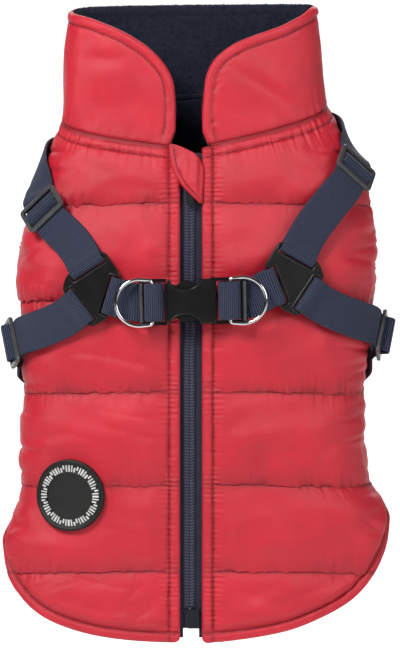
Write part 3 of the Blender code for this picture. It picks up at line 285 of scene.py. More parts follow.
def new_piece(name, points, faces, surface, slot, body=BODY, node=None, smooth=True, uvs=None,
              shade=None, merge=0.0):
    """Object from points in millimetres, riding on a body, in place of a solid if node is given."""
    mesh = bpy.data.meshes.new(name)
    mesh.from_pydata((np.asarray(points, float) * MM).tolist(), [], faces)
    if uvs is not None:
        layer = mesh.uv_layers.new(name="UVMap")
        loops = np.empty(len(mesh.loops), int)
        mesh.loops.foreach_get("vertex_index", loops)
        layer.data.foreach_set("uv", np.asarray(uvs, np.float32)[loops].ravel())
    # per-point painted shade, which darkens the nylon towards its deep red in grooves and seams
    if shade is not None:
        tint = mesh.attributes.new("shade", "FLOAT", "POINT")
        tint.data.foreach_set("value", np.full(len(points), shade, np.float32))
    shape = bmesh.new()
    shape.from_mesh(mesh)
    if merge:
        bmesh.ops.remove_doubles(shape, verts=shape.verts, dist=merge * MM)
    bmesh.ops.recalc_face_normals(shape, faces=shape.faces)
    shape.to_mesh(mesh)
    shape.free()
    if smooth:
        mesh.shade_smooth()
    mesh.materials.append(surface)
    thing = put_in_scene(name, mesh)
    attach(thing, body)
    if node:
        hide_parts(node)
    return thing


def ring_faces(rings, sides, start=0, closed=False, capped=False):
    """Quads between rings of points; closed joins the last to the first, capped ends them."""
    faces = []
    for ring in range(rings if closed else rings - 1):
        low, high = start + ring * sides, start + (ring + 1) % rings * sides
        for place in range(sides):
            after = (place + 1) % sides
            faces.append((low + place, low + after, high + after, high + place))
    if capped:
        end = start + rings * sides
        faces += [tuple(range(start, start + sides)), tuple(range(end - sides, end))]
    return faces


def grid_faces(place):
    """Quads of a grid of vertex numbers."""
    corners = (place[:-1, :-1], place[:-1, 1:], place[1:, 1:], place[1:, :-1])
    return np.stack(corners, -1).reshape(-1, 4)


def wall(outer, inner, coarse=1):
    """Closed wall from two grids of points, [column, row]; the inner side keeps every
    coarse-th line."""
    columns, rows = outer.shape[:2]
    place = np.arange(columns * rows).reshape(columns, rows)
    across = np.unique(np.append(np.arange(0, columns, coarse), columns - 1))
    down = np.unique(np.append(np.arange(0, rows, coarse), rows - 1))
    behind = place.size + np.arange(len(across) * len(down)).reshape(len(across), len(down))
    points = np.concatenate([outer.reshape(-1, 3), inner[np.ix_(across, down)].reshape(-1, 3)])
    faces = grid_faces(place).tolist() + grid_faces(behind)[:, ::-1].tolist()
    for line, other, stops in ((place[0], behind[0], down), (place[-1], behind[-1], down),
                               (place[:, 0], behind[:, 0], across),
                               (place[:, -1], behind[:, -1], across)):
        for number, (start, end) in enumerate(zip(stops, stops[1:])):
            faces.append(line[start:end + 1].tolist()
                         + [int(other[number + 1]), int(other[number])])
    return points, faces


def tinted(points, painted_groove_shade):
    """Painted groove shade for a wall's points; none on its inner side."""
    shade = np.zeros(len(points))
    shade[:painted_groove_shade.size] = painted_groove_shade.ravel()
    return shade


def shades(colour, darker, lighter):
    """Stops of a ramp from a darker to a lighter shade of one colour."""
    return [(0.3, tuple(part * darker for part in colour)),
            (0.7, tuple(min(1.0, part * lighter) for part in colour))]


def greys(low_at, low, high_at, high=1.0):
    return [(low_at, (low,) * 3), (high_at, (high,) * 3)]


class Paint:
    """A Principled material and the nodes that feed it."""

    SOCKETS = {"sheen": "Sheen Weight", "sheen_roughness": "Sheen Roughness",
               "sheen_tint": "Sheen Tint", "specular": "Specular IOR Level"}

    def __init__(self, name, colour, roughness, metallic=0.0, **sockets):
        self.material = bpy.data.materials.new(name)
        self.material.use_nodes = True
        self.nodes, self.links = self.material.node_tree.nodes, self.material.node_tree.links
        self.bsdf = self.nodes["Principled BSDF"]
        values = {"Base Color": (*colour, 1.0), "Roughness": roughness, "Metallic": metallic}
        values.update({self.SOCKETS[key]: value for key, value in sockets.items()})
        for socket, value in values.items():
            self.bsdf.inputs[socket].default_value = value

    def where(self, name="Object"):
        return self.nodes.new("ShaderNodeTexCoord").outputs[name]

    def colour(self, source):
        self.links.new(source, self.bsdf.inputs["Base Color"])

    def ramp(self, source, stops):
        made = self.nodes.new("ShaderNodeValToRGB")
        for element, (place, colour) in zip(made.color_ramp.elements, stops):
            element.position = place
            element.color = (*colour, 1.0)
        self.links.new(source, made.inputs["Fac"])
        return made.outputs["Color"]

    def texture(self, kind, coords, scale, **values):
        made = self.nodes.new("ShaderNodeTex" + kind)
        mapping = self.nodes.new("ShaderNodeMapping")
        mapping.inputs["Scale"].default_value = np.broadcast_to(scale, 3).tolist()
        self.links.new(coords, mapping.inputs["Vector"])
        self.links.new(mapping.outputs["Vector"], made.inputs["Vector"])
        made.inputs["Scale"].default_value = 1.0
        for key, value in values.items():
            if key in made.inputs:
                made.inputs[key].default_value = value
            else:
                setattr(made, key, value)
        return made

    def noise(self, coords, scale, **values):
        return self.texture("Noise", coords, scale, **values).outputs["Fac"]

    def wave(self, coords, way, scale, distortion):
        return self.texture("Wave", coords, 1.0, wave_type="BANDS", bands_direction=way,
                            Scale=scale, Distortion=distortion).outputs["Fac"]

    def mix(self, way, factor, first, second):
        made = self.nodes.new("ShaderNodeMix")
        made.data_type = "RGBA"
        made.blend_type = way
        for number, value in ((0, factor), (6, first), (7, second)):
            if hasattr(value, "links"):
                self.links.new(value, made.inputs[number])
            else:
                made.inputs[number].default_value = value if number == 0 else (*value, 1.0)
        return made.outputs[2]

    def bump(self, *layers):
        """Chained bumps: (height socket, distance in mm, strength)."""
        normal = None
        for height, distance, strength in layers:
            made = self.nodes.new("ShaderNodeBump")
            made.inputs["Distance"].default_value = distance * MM
            made.inputs["Strength"].default_value = strength
            self.links.new(height, made.inputs["Height"])
            if normal is not None:
                self.links.new(normal, made.inputs["Normal"])
            normal = made.outputs["Normal"]
        self.links.new(normal, self.bsdf.inputs["Normal"])


def nylon(name, colour, painted_shade_colour):
    """Fine plain-woven nylon with a soft sheen, and painted shade: a deeper red in the stitched
    grooves.
    """
    paint = Paint(name, colour, 0.45, sheen=0.08, sheen_roughness=0.35, specular=0.66)
    where = paint.where()
    tint = paint.nodes.new("ShaderNodeAttribute")
    tint.attribute_name = "shade"
    cloud = paint.noise(where, 38.0, Detail=4.0)
    slub = paint.noise(where, (220.0, 220.0, 2600.0), Detail=2.0)
    warm = paint.ramp(cloud, shades(colour, 0.90, 1.08))
    # painted shade: mix towards the deep red by the grooves' painted shade set on the points
    base = paint.mix("MIX", tint.outputs["Fac"], warm, painted_shade_colour)
    thread = paint.ramp(slub, greys(0.35, 0.93, 0.65))
    paint.colour(paint.mix("MULTIPLY", 1.0, base, thread))
    weft, warp = (paint.wave(where, way, 3600.0, 1.2) for way in "ZX")
    fine = paint.noise(where, 420.0, Detail=5.0)
    paint.bump((weft, 0.04, 0.45), (warp, 0.04, 0.35), (fine, 0.25, 0.25))
    return paint.material


def fleece(name, colour, light):
    paint = Paint(name, colour, 0.95, sheen=0.40, sheen_roughness=0.6,
                  sheen_tint=(0.35, 0.40, 0.62, 1.0), specular=0.15)
    where = paint.where()
    lumps = paint.noise(where, 330.0, Detail=6.0, Roughness=0.7)
    tufts = paint.texture("Voronoi", where, 520.0).outputs["Distance"]
    paint.colour(paint.ramp(lumps, [(0.32, colour), (0.72, light)]))
    paint.bump((lumps, 0.8, 0.7), (tufts, 0.4, 0.5))
    return paint.material


THREAD_PITCH = 0.62       # mm between the lengthwise threads of webbing and tape


def ribbed(name, dark, light, pitch):
    """Woven webbing or tape: ribs across its width from the UV's running length, with painted shade
    between the ribs and painted highlight on them.
    """
    paint = Paint(name, dark, 0.70, sheen=0.10, sheen_roughness=0.5, specular=0.25)
    where, place = paint.where("UV"), paint.where()
    ribs = paint.wave(where, "Y", math.pi / 10 / (pitch * MM), 0.5)
    threads = paint.wave(where, "X", math.pi / 10 / (THREAD_PITCH * MM), 1.0)
    grain = paint.noise(place, 900.0, Detail=4.0)
    # painted light: dark in the troughs and light on the crests of the ribs
    painted_rib_shading = paint.ramp(ribs, [(0.15, dark), (0.8, light)])
    worn = paint.ramp(grain, greys(0.3, 0.78, 0.7))
    paint.colour(paint.mix("MULTIPLY", 1.0, painted_rib_shading, worn))
    paint.bump((ribs, 0.22, 0.8), (threads, 0.08, 0.5), (grain, 0.15, 0.3))
    return paint.material


def plain(name, colour, roughness, grain, depth, metallic=0.0, **sockets):
    """Moulded or drawn surface with a fine grain and uneven gloss."""
    paint = Paint(name, colour, roughness, metallic, **sockets)
    where = paint.where()
    fine = paint.noise(where, grain, Detail=5.0)
    broad = paint.noise(where, 120.0, Detail=3.0)
    paint.colour(paint.ramp(broad, shades(colour, 0.85, 1.15)))
    gloss = paint.nodes.new("ShaderNodeMapRange")
    gloss.inputs["To Min"].default_value = max(0.03, roughness - 0.07)
    gloss.inputs["To Max"].default_value = roughness + 0.07
    paint.links.new(broad, gloss.inputs["Value"])
    paint.links.new(gloss.outputs["Result"], paint.bsdf.inputs["Roughness"])
    paint.bump((fine, depth, 0.4))
    return paint.material


# the second colour is the deep red of the painted shade in the grooves and seams
NYLON = nylon("nylon_red", (0.70, 0.012, 0.034), (0.30, 0.001, 0.010))
# thread painted a dark red: painted shade of the dimples that the stitches sink into
THREAD_RED = plain("thread_red", (0.24, 0.003, 0.011), 0.7, 3000.0, 0.05)
FLEECE = fleece("fleece_navy", (0.008, 0.009, 0.018), (0.019, 0.021, 0.038))
# dark and light colours: painted shade between the ribs and painted highlight on them
WEBBING = ribbed("webbing_ribbed", (0.006, 0.008, 0.020), (0.062, 0.074, 0.136), 0.95)
TAPE = ribbed("zip_tape_woven", (0.020, 0.022, 0.044), (0.048, 0.052, 0.092), 0.55)
# navy coil with a lighter base than the tape: painted highlight along its turns; glossier too
COIL = plain("zip_coil", (0.085, 0.096, 0.150), 0.35, 2500.0, 0.05)
PLASTIC = plain("plastic_moulded", (0.0060, 0.0060, 0.0058), 0.30, 1500.0, 0.05, specular=0.5)
# black plastic given a lighter grey base as a painted highlight for its lit bars; glossier too
PLASTIC_PAINTED_HIGHLIGHT = plain("plastic_painted_highlight", (0.075, 0.075, 0.078), 0.24, 1500.0, 0.04, specular=0.8)
RUBBER = plain("rubber_black", (0.009, 0.009, 0.0085), 0.52, 1400.0, 0.08, specular=0.4)
RUBBER_DISC = plain("rubber_disc", (0.0125, 0.0125, 0.012), 0.62, 1100.0, 0.12, specular=0.4)
MARKS = plain("rubber_marks", (0.72, 0.72, 0.70), 0.5, 1400.0, 0.05)
CHROME = plain("chrome", (0.82, 0.82, 0.83), 0.10, 600.0, 0.01, metallic=1.0)
DARK_METAL = plain("zip_metal", (0.030, 0.030, 0.032), 0.32, 1500.0, 0.04, metallic=0.6)
FILM = plain("end_box", (0.006, 0.007, 0.015), 0.35, 900.0, 0.05)


# ================================================================ quilted panels
CORNER = 3.6              # rounding of the panels' lower corners at the zip
PLACKET_ANGLE, ABOUT_HALF = 8.0, 88.0    # about where the placket ends; about half the width
LEG_HOLE_BAND = 1


def band_rows(count):
    steps = np.linspace(0, 1, count + 1)[:-1]
    return 0.55 * steps + 0.45 * (1 - np.cos(np.pi * steps)) / 2


def panel_heights(angle, per_band):
    """Row heights at each column's angle, with each row's notch for the leg hole."""
    lines = [neck_line(angle) - 0.2] + [quilt_line(row, angle) for row in range(len(QUILT_LINES))]
    hem = hem_line(angle)
    heights, notches = [], []
    last = len(QUILT_LINES)
    for band in range(last + 1):
        low = lines[band + 1] if band < last else np.minimum(hem, lines[last])
        for part in band_rows(per_band):
            heights.append(lines[band] + part * (low - lines[band]))
            round_hole = math.sqrt(max(0.0, 1 - (1 - 2 * part) ** 2))
            notches.append(round_hole if band == LEG_HOLE_BAND else 0.0)
    heights.append(hem)
    notches.append(0.0)
    return np.maximum(np.array(heights), hem), np.array(notches)


def row_heights(angle, per_band):
    """Row heights and notches at one angle, or where each row has its own angle."""
    if np.ndim(angle) == 0:
        return panel_heights(angle, per_band)
    heights, notches = panel_heights(angle[None, :], per_band)
    return np.diagonal(heights[:, 0, :]).copy(), notches


def settled(angle, per_band, place):
    """A column's angles and heights, once its rows' angles and heights fit each other."""
    for _ in range(3):
        heights, notches = row_heights(angle, per_band)
        angle = place(heights, notches)
    return angle, heights


def back_grid(side, edges, parts, per_band):
    columns = []
    for x in edges:
        angle = side * math.degrees(math.asin(x / ABOUT_HALF))
        heights, _ = panel_heights(angle, per_band)
        inward = max(0.0, CORNER - (x - PLACKET_EDGE))
        lowest = float(hem_line(angle)) + CORNER - math.sqrt(max(0.0, CORNER ** 2 - inward ** 2))
        heights = np.maximum(heights, lowest)
        columns.append((angle_of(side * x, heights), heights))
    for part in parts:
        def place(heights, notches):
            start = np.abs(angle_of(side * edges[-1], heights))
            end = SEAM_ANGLE - SEAM_HALF_GAP - LEG_HOLE_HALF * notches
            return side * (start + part * (end - start))

        about = side * (PLACKET_ANGLE + part * (SEAM_ANGLE - PLACKET_ANGLE))
        columns.append(settled(about, per_band, place))
    return [np.array(column) for column in zip(*columns)]


def belly_grid(parts, per_band):
    columns = []
    for part in parts:
        def place(heights, notches):
            start = SEAM_ANGLE + SEAM_HALF_GAP + LEG_HOLE_HALF * notches
            return start + part * (360 - 2 * start)

        columns.append(settled(SEAM_ANGLE + part * (360 - 2 * SEAM_ANGLE), per_band, place))
    return [np.array(column) for column in zip(*columns)]


def hem_distance(angle, z):
    """Distance from the slanting lower edge."""
    hem = hem_line(angle)
    reach = np.linalg.norm(body_point(angle + 0.5, hem) - body_point(angle - 0.5, hem), axis=-1)
    slope = (hem_line(angle + 0.5) - hem_line(angle - 0.5)) / np.maximum(reach, 0.05)
    return (z - hem) / np.sqrt(1 + slope ** 2)


def valley(u, v, seed, width=0.3):
    """Creases: 0 on most of a cloth, down to -1 along thin wandering lines."""
    return -np.clip(1 - np.abs(rough(u, v, seed)) / width, 0, 1) ** 1.5


def turned_by(u, v, degrees):
    way = math.radians(degrees)
    return u * math.cos(way) + v * math.sin(way), v * math.cos(way) - u * math.sin(way)


def quilting(angle, z, seed):
    """Puffs as in the solids, fuller towards the stitching below them."""
    lines = np.stack([neck_line(angle)]
                     + [quilt_line(row, angle) for row in range(len(QUILT_LINES))])
    hem = hem_line(angle)
    above = np.where(lines > z + 1e-6, lines, np.inf).min(0)
    top = np.where(np.isinf(above), lines[0], above)
    below = np.where((lines <= z + 1e-6) & (lines > hem), lines, -np.inf).max(0)
    bottom = np.where(np.isinf(below), hem, below)
    height = np.maximum(top - bottom, 1e-6)
    along = arc_of(angle)
    lower = 1.32 + 0.22 * rough(along / 21, top / 9, seed + 51)
    part = np.clip((top - z) / height, 0, 1) ** lower
    across = np.clip(1 - (2 * part - 1) ** 2, 0.0, 1.0) ** 0.58
    x = body_point(angle, z)[..., 0]
    turned = np.abs(wrapped(angle))
    from_zip = np.where(turned > 90, 1.0,
                        np.clip((np.abs(x) - PLACKET_STITCH) / 10.0, 0, 1) ** 0.6)
    from_seam = np.clip(np.abs(turned - SEAM_ANGLE) / 8.0, 0, 1) ** 0.6
    swell = 1.0 + 0.16 * rough(along / 26, top / 7, seed + 55)
    out = (puff_height(angle) * across * from_zip * from_seam * swell
           * np.minimum(1.0, height / 25.0))
    reach = np.hypot(x - PATCH_X, z - PATCH_Z)
    near_patch = np.where(turned < 90, 1 - ease(reach, PATCH_RADIUS + 1, 30.0), 0.0)
    return out + (PATCH_SEAT - out) * near_patch, across * (1 - near_patch), along, x, lines


def shell_surface(angle, z, seed):
    """Outward height, drop and painted groove shade of the quilted shell, with its creases."""
    out, across, along, x, lines = quilting(angle, z, seed)
    turned = np.abs(wrapped(angle))
    from_neck = neck_line(angle) - z
    from_hem = hem_distance(angle, z)
    gaps = z - lines[1:]
    nearest = np.take_along_axis(gaps, np.abs(gaps).argmin(0)[None], 0)[0]
    beside = np.where(turned < 90, np.abs(x), 99.0)
    off_zip = ease(beside, 12.0, 22.0)
    # broad soft folds inside each puff
    loose = across * off_zip * ease(from_hem, 5.0, 16.0)
    u, v = turned_by(along, z, 14.0 * np.sign(np.sin(np.radians(wrapped(angle)))).mean())
    patchy = ease(rough(along / 40, z / 30, seed + 61), -0.2, 0.3)
    out = out + loose * (1.5 * rough(u / 26, v / 12, seed) + 0.7 * rough(u / 12, v / 17, seed + 3)
                         + 0.55 * patchy * valley(u / 60, v / 13, seed + 5, 0.4)
                         + 0.25 * rough(u / 7, v / 6, seed + 6))
    # folds that come in from the sides and fan out above the hem
    at_side = ease(turned, 46.0, 74.0) * (1 - ease(turned, 100, 118))
    out = out + loose * at_side * 1.5 * valley(along / 60, z / 9.0, seed + 8, 0.35)
    low = 1 - ease(from_hem, 18.0, 50.0)
    u, v = turned_by(along, z, -38.0 * np.sign(np.sin(np.radians(wrapped(angle)))).mean())
    out = out + loose * low * 0.8 * valley(u / 60, v / 12, seed + 10, 0.35)
    # gathers along every line of stitching, longest above it
    gather = np.exp(-np.abs(nearest) / np.where(nearest > 0, 5.2, 3.6))
    uneven = np.clip(0.62 + 0.6 * rough(along / 13, z / 60, seed + 71), 0.1, 1.2)
    ripple = (rough(along / 1.7, nearest / 9 + seed, seed + 7)
              + 0.8 * rough(along / 3.8, z / 14, seed + 9)
              + 1.1 * valley(along / 3.8, nearest / 16 + seed, seed + 73, 0.3))
    out = out + (0.85 * gather * uneven * ripple * ease(np.abs(nearest), 0.1, 1.4)
                 * ease(beside, 12, 14))
    # the puff above hangs over its stitching
    hang = np.where(nearest > 0, nearest, 0.0)
    heavy = np.clip(0.6 + 0.9 * rough(along / 8.5, z / 40, seed + 75)
                    + 1.1 * rough(along / 2.9, z / 40, seed + 76), 0, 1.9)
    drop = -1.75 * heavy * (hang / 1.6) * np.exp(1 - hang / 1.6) * ease(beside, 12, 17)
    drop = np.where((turned < 118) | (turned > 126), drop, 0.0)
    drop = drop * ease(from_hem, 4.0, 8.0) * ease(from_neck, 3, 6)
    # the collar seam with its line of topstitching
    out = np.where(from_neck < NECK_STITCH, np.minimum(out, 1.1), out)
    pucker = rough(along / 1.9, z / 12, seed + 21) + valley(along / 4, z / 30, seed + 23)
    out = out + 0.6 * np.exp(-np.abs(from_neck - NECK_STITCH) / 4.0) * pucker
    out = out - 0.55 * bell(from_neck - NECK_STITCH, 0.7) - 1.0 * bell(from_neck, 1.0)
    # the placket beside the zip, gathered by its stitching
    rungs = np.sin(2 * math.pi * z / 2.5 + 5.0 * rough(z / 14, x / 40, seed + 31))
    ladder = (rungs * (0.75 + 0.5 * rough(z / 9, x / 20, seed + 35))
              + 0.6 * rough(z / 2.2, x / 14, seed + 33)
              + 0.8 * valley(z / 5.0, x / 30, seed + 37, 0.25))
    on_placket = ease(beside, 5.6, 7.6) * (1 - ease(beside, 11.6, 18.5))
    out = np.where(turned < 90, np.maximum(out, 0.8 * (1 - ease(beside, 10.3, 14.3))), out)
    out = out + 0.40 * ladder * on_placket - 0.85 * bell(beside - PLACKET_STITCH, 0.8)
    out = out + 0.5 * bell(beside - 8.3, 2.4)
    out = out - 0.9 * bell(beside - PLACKET_EDGE, 0.6)
    # the turned and stitched hem
    rolled = np.clip(1 - ((from_hem - 2.4) / 2.4) ** 2, 0, 1) ** 0.5
    hem_band = 1 - ease(from_hem, 4.2, 6.0)
    out = out * ease(from_hem, 3.6, 10.0) + hem_band * (0.1 + 1.15 * rolled)
    pucker = rough(along / 1.9, z / 20, seed + 41) + 0.8 * valley(along / 3.6, z / 30, seed + 43)
    out = out + 0.55 * np.exp(-np.abs(from_hem - 5) / 3.4) * pucker
    out = out - 0.7 * bell(from_hem - HEM_STITCH, 0.75)
    # side seams
    from_seam = np.abs(turned - SEAM_ANGLE)
    out = out - 0.5 * bell(from_seam, 0.7)
    # painted shade: deeper red along the stitching, seams, placket and hem, strongest just above
    # each quilting line under the hanging puff
    painted_groove_shade = np.maximum.reduce([
        0.9 * bell(nearest, 1.2) * ease(beside, 11, 13),
        0.6 * np.exp(-np.abs(nearest) / np.where(nearest > 0, 4.5, 1.5)) * uneven * 1.4,
        0.55 * bell(from_neck - NECK_STITCH, 1.0), 0.85 * bell(from_neck, 1.8),
        0.85 * bell(beside - PLACKET_STITCH, 0.8), 0.7 * bell(from_hem - HEM_STITCH, 0.9),
        0.5 * bell(beside - PLACKET_EDGE, 0.8), 0.6 * bell(from_seam, 0.8)])
    return out, np.clip(painted_groove_shade, 0, 1), drop


def panel(name, node, grid, seed, coarse):
    angle, z = grid
    out, painted_groove_shade, drop = shell_surface(angle, z, seed)
    outer = off_body(angle, z, out)
    outer[..., 2] += drop
    points, faces = wall(outer, off_body(angle, z, -SHELL), coarse)
    piece = new_piece(name, points, faces, NYLON, "shell_red", node=node,
                      shade=tinted(points, painted_groove_shade), merge=MERGE)


def lining(name, node, grid, seed):
    angle, z = grid
    base = -SHELL - GAP
    lumps = 0.25 * rough(np.radians(wrapped(angle)) * 6.0, z / 9, seed)
    inner = off_body(angle, z, base - LINING + lumps)
    points, faces = wall(off_body(angle, z, base), inner)
    piece = new_piece(name, points, faces, FLEECE, "lining_navy", node=node, merge=MERGE)


# ================================================================ stitches and pile
def stitches(name, lines, pitch=2.3, length=1.6, radius=0.26, sides=5):
    """Sewn stitches as small rounded bodies along lines of (points, normals)."""
    profile = ((-0.5, 0.3), (-0.3, 0.95), (0.3, 0.95), (0.5, 0.3))
    turns = np.arange(sides) * 2 * math.pi / sides
    points, faces = [], []
    for line, normals in lines:
        run = run_along(line)

        def along(place, column):
            return np.array([np.interp(place, run, column[:, axis]) for axis in range(3)])

        for middle in np.arange(pitch / 2, run[-1] - pitch / 2, pitch):
            centre = along(middle, line)
            out = unit(along(middle, normals))
            way = unit(along(middle + length / 2, line) - along(middle - length / 2, line))
            side = np.cross(out, way)
            faces += ring_faces(len(profile), sides, len(points), capped=True)
            for place, size in profile:
                here = centre + way * length * place + out * radius * (0.45 * size - 0.1)
                points += [here + radius * size * (math.cos(turn) * side + math.sin(turn) * out)
                           for turn in turns]
    new_piece(name, points, faces, THREAD_RED, "shell_red")


def pile(name, roots, normals, length, seed):
    """Short fibres that stand out of fleece, as thin bent blades."""
    chance = np.random.default_rng(seed)
    count = len(roots)
    lean = chance.normal(0, 0.55, (count, 3))
    way = unit(normals + lean)
    side = unit(np.cross(way, chance.normal(0, 1, (count, 3))))
    tall = length * chance.uniform(0.55, 1.25, (count, 1))
    bend = unit(way + 0.7 * chance.normal(0, 1, (count, 3)))
    wide = 0.11
    elbow = roots + way * tall * 0.55
    points = np.stack([roots - side * wide, roots + side * wide, elbow + side * wide * 0.8,
                       elbow - side * wide * 0.8, elbow + bend * tall * 0.5], 1).reshape(-1, 3)
    base = (np.arange(count) * 5)[:, None]
    mesh = bpy.data.meshes.new(name)
    faces = (base + np.array([0, 1, 2, 3])).tolist() + (base + np.array([3, 2, 4])).tolist()
    mesh.from_pydata((points * MM).tolist(), [], faces)
    mesh.materials.append(FLEECE)
    thing = put_in_scene(name, mesh)
    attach(thing, BODY)


# ================================================================ cloth pieces
def cloth():
    """Quilted panels, linings and their pile."""
    edges = (5.6, 5.8, 6.1, 6.6, 7.2, 7.9, 8.7, 9.5, 10.2, 10.8, 11.3, 11.8, 12.4, 13.2, 14.2)
    parts = np.concatenate([np.linspace(0, 0.6, 121)[1:], np.linspace(0.6, 1, 43)[1:]])
    lining_edges = (LINING_EDGE, LINING_EDGE + 2.6)
    lining_parts = np.linspace(0, 1, 34)
    for side, label, seed in SIDES:
        panel("shell_back_" + label, "back_panel_" + label,
              back_grid(side, edges, parts, 62), seed, 3)
        lining("fleece_back_" + label, "lining_back_" + label,
               back_grid(side, lining_edges, lining_parts[1:], 9), seed)
    panel("shell_belly", "belly_panel", belly_grid(np.linspace(0, 1, 90), 28), BELLY_SEED, 2)
    lining("fleece_belly", "lining_belly", belly_grid(lining_parts, 9), BELLY_SEED + 2)
    chance = np.random.default_rng(11)
    fibres, lowest, highest = 34000, -254, 22
    angle = chance.uniform(-180, 180, fibres)
    z = chance.uniform(lowest, highest, fibres)
    x = body_point(angle, z)[..., 0]
    keep = (z > hem_line(angle) + 0.3) & (z < neck_line(angle) - 1)
    keep &= ~((np.abs(angle) < 90) & (np.abs(x) < LINING_EDGE + 0.5))
    middle, tall = leg_hole(angle)
    hole = ((np.abs(np.abs(angle) - SEAM_ANGLE) / LEG_HOLE_HALF) ** 2 + ((z - middle) / tall) ** 2)
    keep &= hole > 1.02
    angle, z = angle[keep], z[keep]
    pile("fleece_pile_body", off_body(angle, z, -SHELL - GAP - LINING + 0.1),
         -body_normal(angle, z), PILE, 12)


def leg_hole(angle):
    """Middle and half-height of the leg holes, which fill the band between two lines."""
    top, bottom = quilt_line(0, angle), quilt_line(1, angle)
    return (top + bottom) / 2, (top - bottom) / 2


def on_shell(angle, z, seed, lift=0.05):
    out, _, _ = shell_surface(angle, z, seed)
    return off_body(angle, z, out + lift), body_normal(angle, z)


def sewing():
    """Lines of stitching on the red shell."""
    lines = []
    for side, _, seed in SIDES:
        z = np.linspace(0.5, -249.5, 400)
        lines.append(on_shell(angle_of(side * PLACKET_STITCH, z), z, seed))
        angle = side * np.linspace(5.0, SEAM_ANGLE - 1, 300)
        lines.append(on_shell(angle, neck_line(angle) - NECK_STITCH, seed))
        angle = side * np.linspace(7.6, SEAM_ANGLE - 1, 400)
        z = hem_line(angle)
        for _ in range(4):
            z = z + (HEM_STITCH - hem_distance(angle, z))
        lines.append(on_shell(angle, z, seed))
        for row in range(len(QUILT_LINES)):
            angle = side * np.linspace(7.8, SEAM_ANGLE - 0.6, 400)
            z = quilt_line(row, angle)
            keep = z > hem_line(angle) + 5
            x = body_point(angle, z)[..., 0]
            runs = [keep]
            if row == PATCH_ROW and side < 0:
                runs = [keep & (x > PATCH_X + PATCH_RADIUS + 0.5),
                        keep & (x < PATCH_X - PATCH_RADIUS - 0.5)]
            lines += [on_shell(angle[run], z[run], seed) for run in runs if run.sum() > 5]
    stitches("stitches_back", lines)
    lines = []
    angle = np.linspace(SEAM_ANGLE + 1, 360 - SEAM_ANGLE - 1, 300)
    for row in range(len(QUILT_LINES)):
        z = quilt_line(row, angle)
        keep = z > hem_line(angle) + 5
        if keep.sum() > 5:
            lines.append(on_shell(angle[keep], z[keep], BELLY_SEED))
    lines.append(on_shell(angle, neck_line(wrapped(angle)) - NECK_STITCH, BELLY_SEED))
    lines.append(on_shell(angle, hem_line(angle) + 5.0, BELLY_SEED))
    stitches("stitches_belly", lines)


def seam_fill():
    """Seam allowance between collar and body, and the lining's turned edges at the tail."""
    angle = np.linspace(7.5, 353.0, 200)
    z = neck_line(wrapped(angle)) + 0.1
    # painted shade: the sunk seam cord takes the nylon's full deep red
    wires("collar_seam", [off_body(angle, z, -0.95)], 0.85, 8, NYLON, "shell_red", shade=1.0)
    wires("neck_binding", [off_body(angle, z, -SHELL - GAP - 1.0)], 1.35, 10, FLEECE, "lining_navy")
    for side, label, _ in SIDES:
        z = np.linspace(-238.0, -251.6, 30)
        x = side * (PLACKET_EDGE - 0.55 + 0.12 * rough(z / 2.0, z / 7, 5.0))
        wires("placket_facing_" + label, [off_body(angle_of(x, z), z, -1.6)], 1.0, 8, FLEECE,
              "lining_navy")


def leg_bindings():
    """Turned and gathered edge round each leg hole."""
    degree = 1.55                                               # mm for each degree there
    stitch_reach, stitch_lift = 3.6, 0.95
    profile = ((5.2, 0.35), (4.6, 0.75), (2.6, 1.0), (0.6, 0.75), (-0.7, -0.3), (-1.1, -1.8),
               (-0.8, -3.4), (0.4, -4.5), (2.6, -4.8), (4.8, -4.6))
    turns = np.radians(np.arange(0, 360, 2.0))
    middle_z, tall = (float(size) for size in leg_hole(100.0))
    for side, label, seed in SIDES:
        rings = []
        for number, (reach, level) in enumerate(profile):
            wave = 0.35 * rough(np.cos(turns) * 9, np.sin(turns) * 9, seed + 5 + 0.1 * number)
            along = LEG_HOLE_HALF + (reach + 0.3 * wave) / degree
            up = tall + reach + 0.3 * wave
            angle = side * (SEAM_ANGLE + along * np.cos(turns))
            z = middle_z + up * np.sin(turns)
            out, _, _ = shell_surface(angle, z, seed)
            base = np.where(level > -1, np.maximum(out, 0.0), 0.0)
            rings.append(off_body(angle, z, base + level + (wave if level > -1 else 0)))
        points = np.concatenate(rings)
        new_piece("leg_binding_" + label, points, ring_faces(len(rings), len(turns), closed=True),
                  NYLON, "shell_red", shade=0.0)
        angle = side * (SEAM_ANGLE + (LEG_HOLE_HALF + stitch_reach / degree) * np.cos(turns))
        z = middle_z + (tall + stitch_reach) * np.sin(turns)
        out, _, _ = shell_surface(angle, z, seed)
        line = off_body(angle, z, np.maximum(out, 0.0) + stitch_lift)
        normals = body_normal(angle, z)
        stitches("leg_stitches_" + label,
                 [(np.vstack([line, line[:1]]), np.vstack([normals, normals[:1]]))])


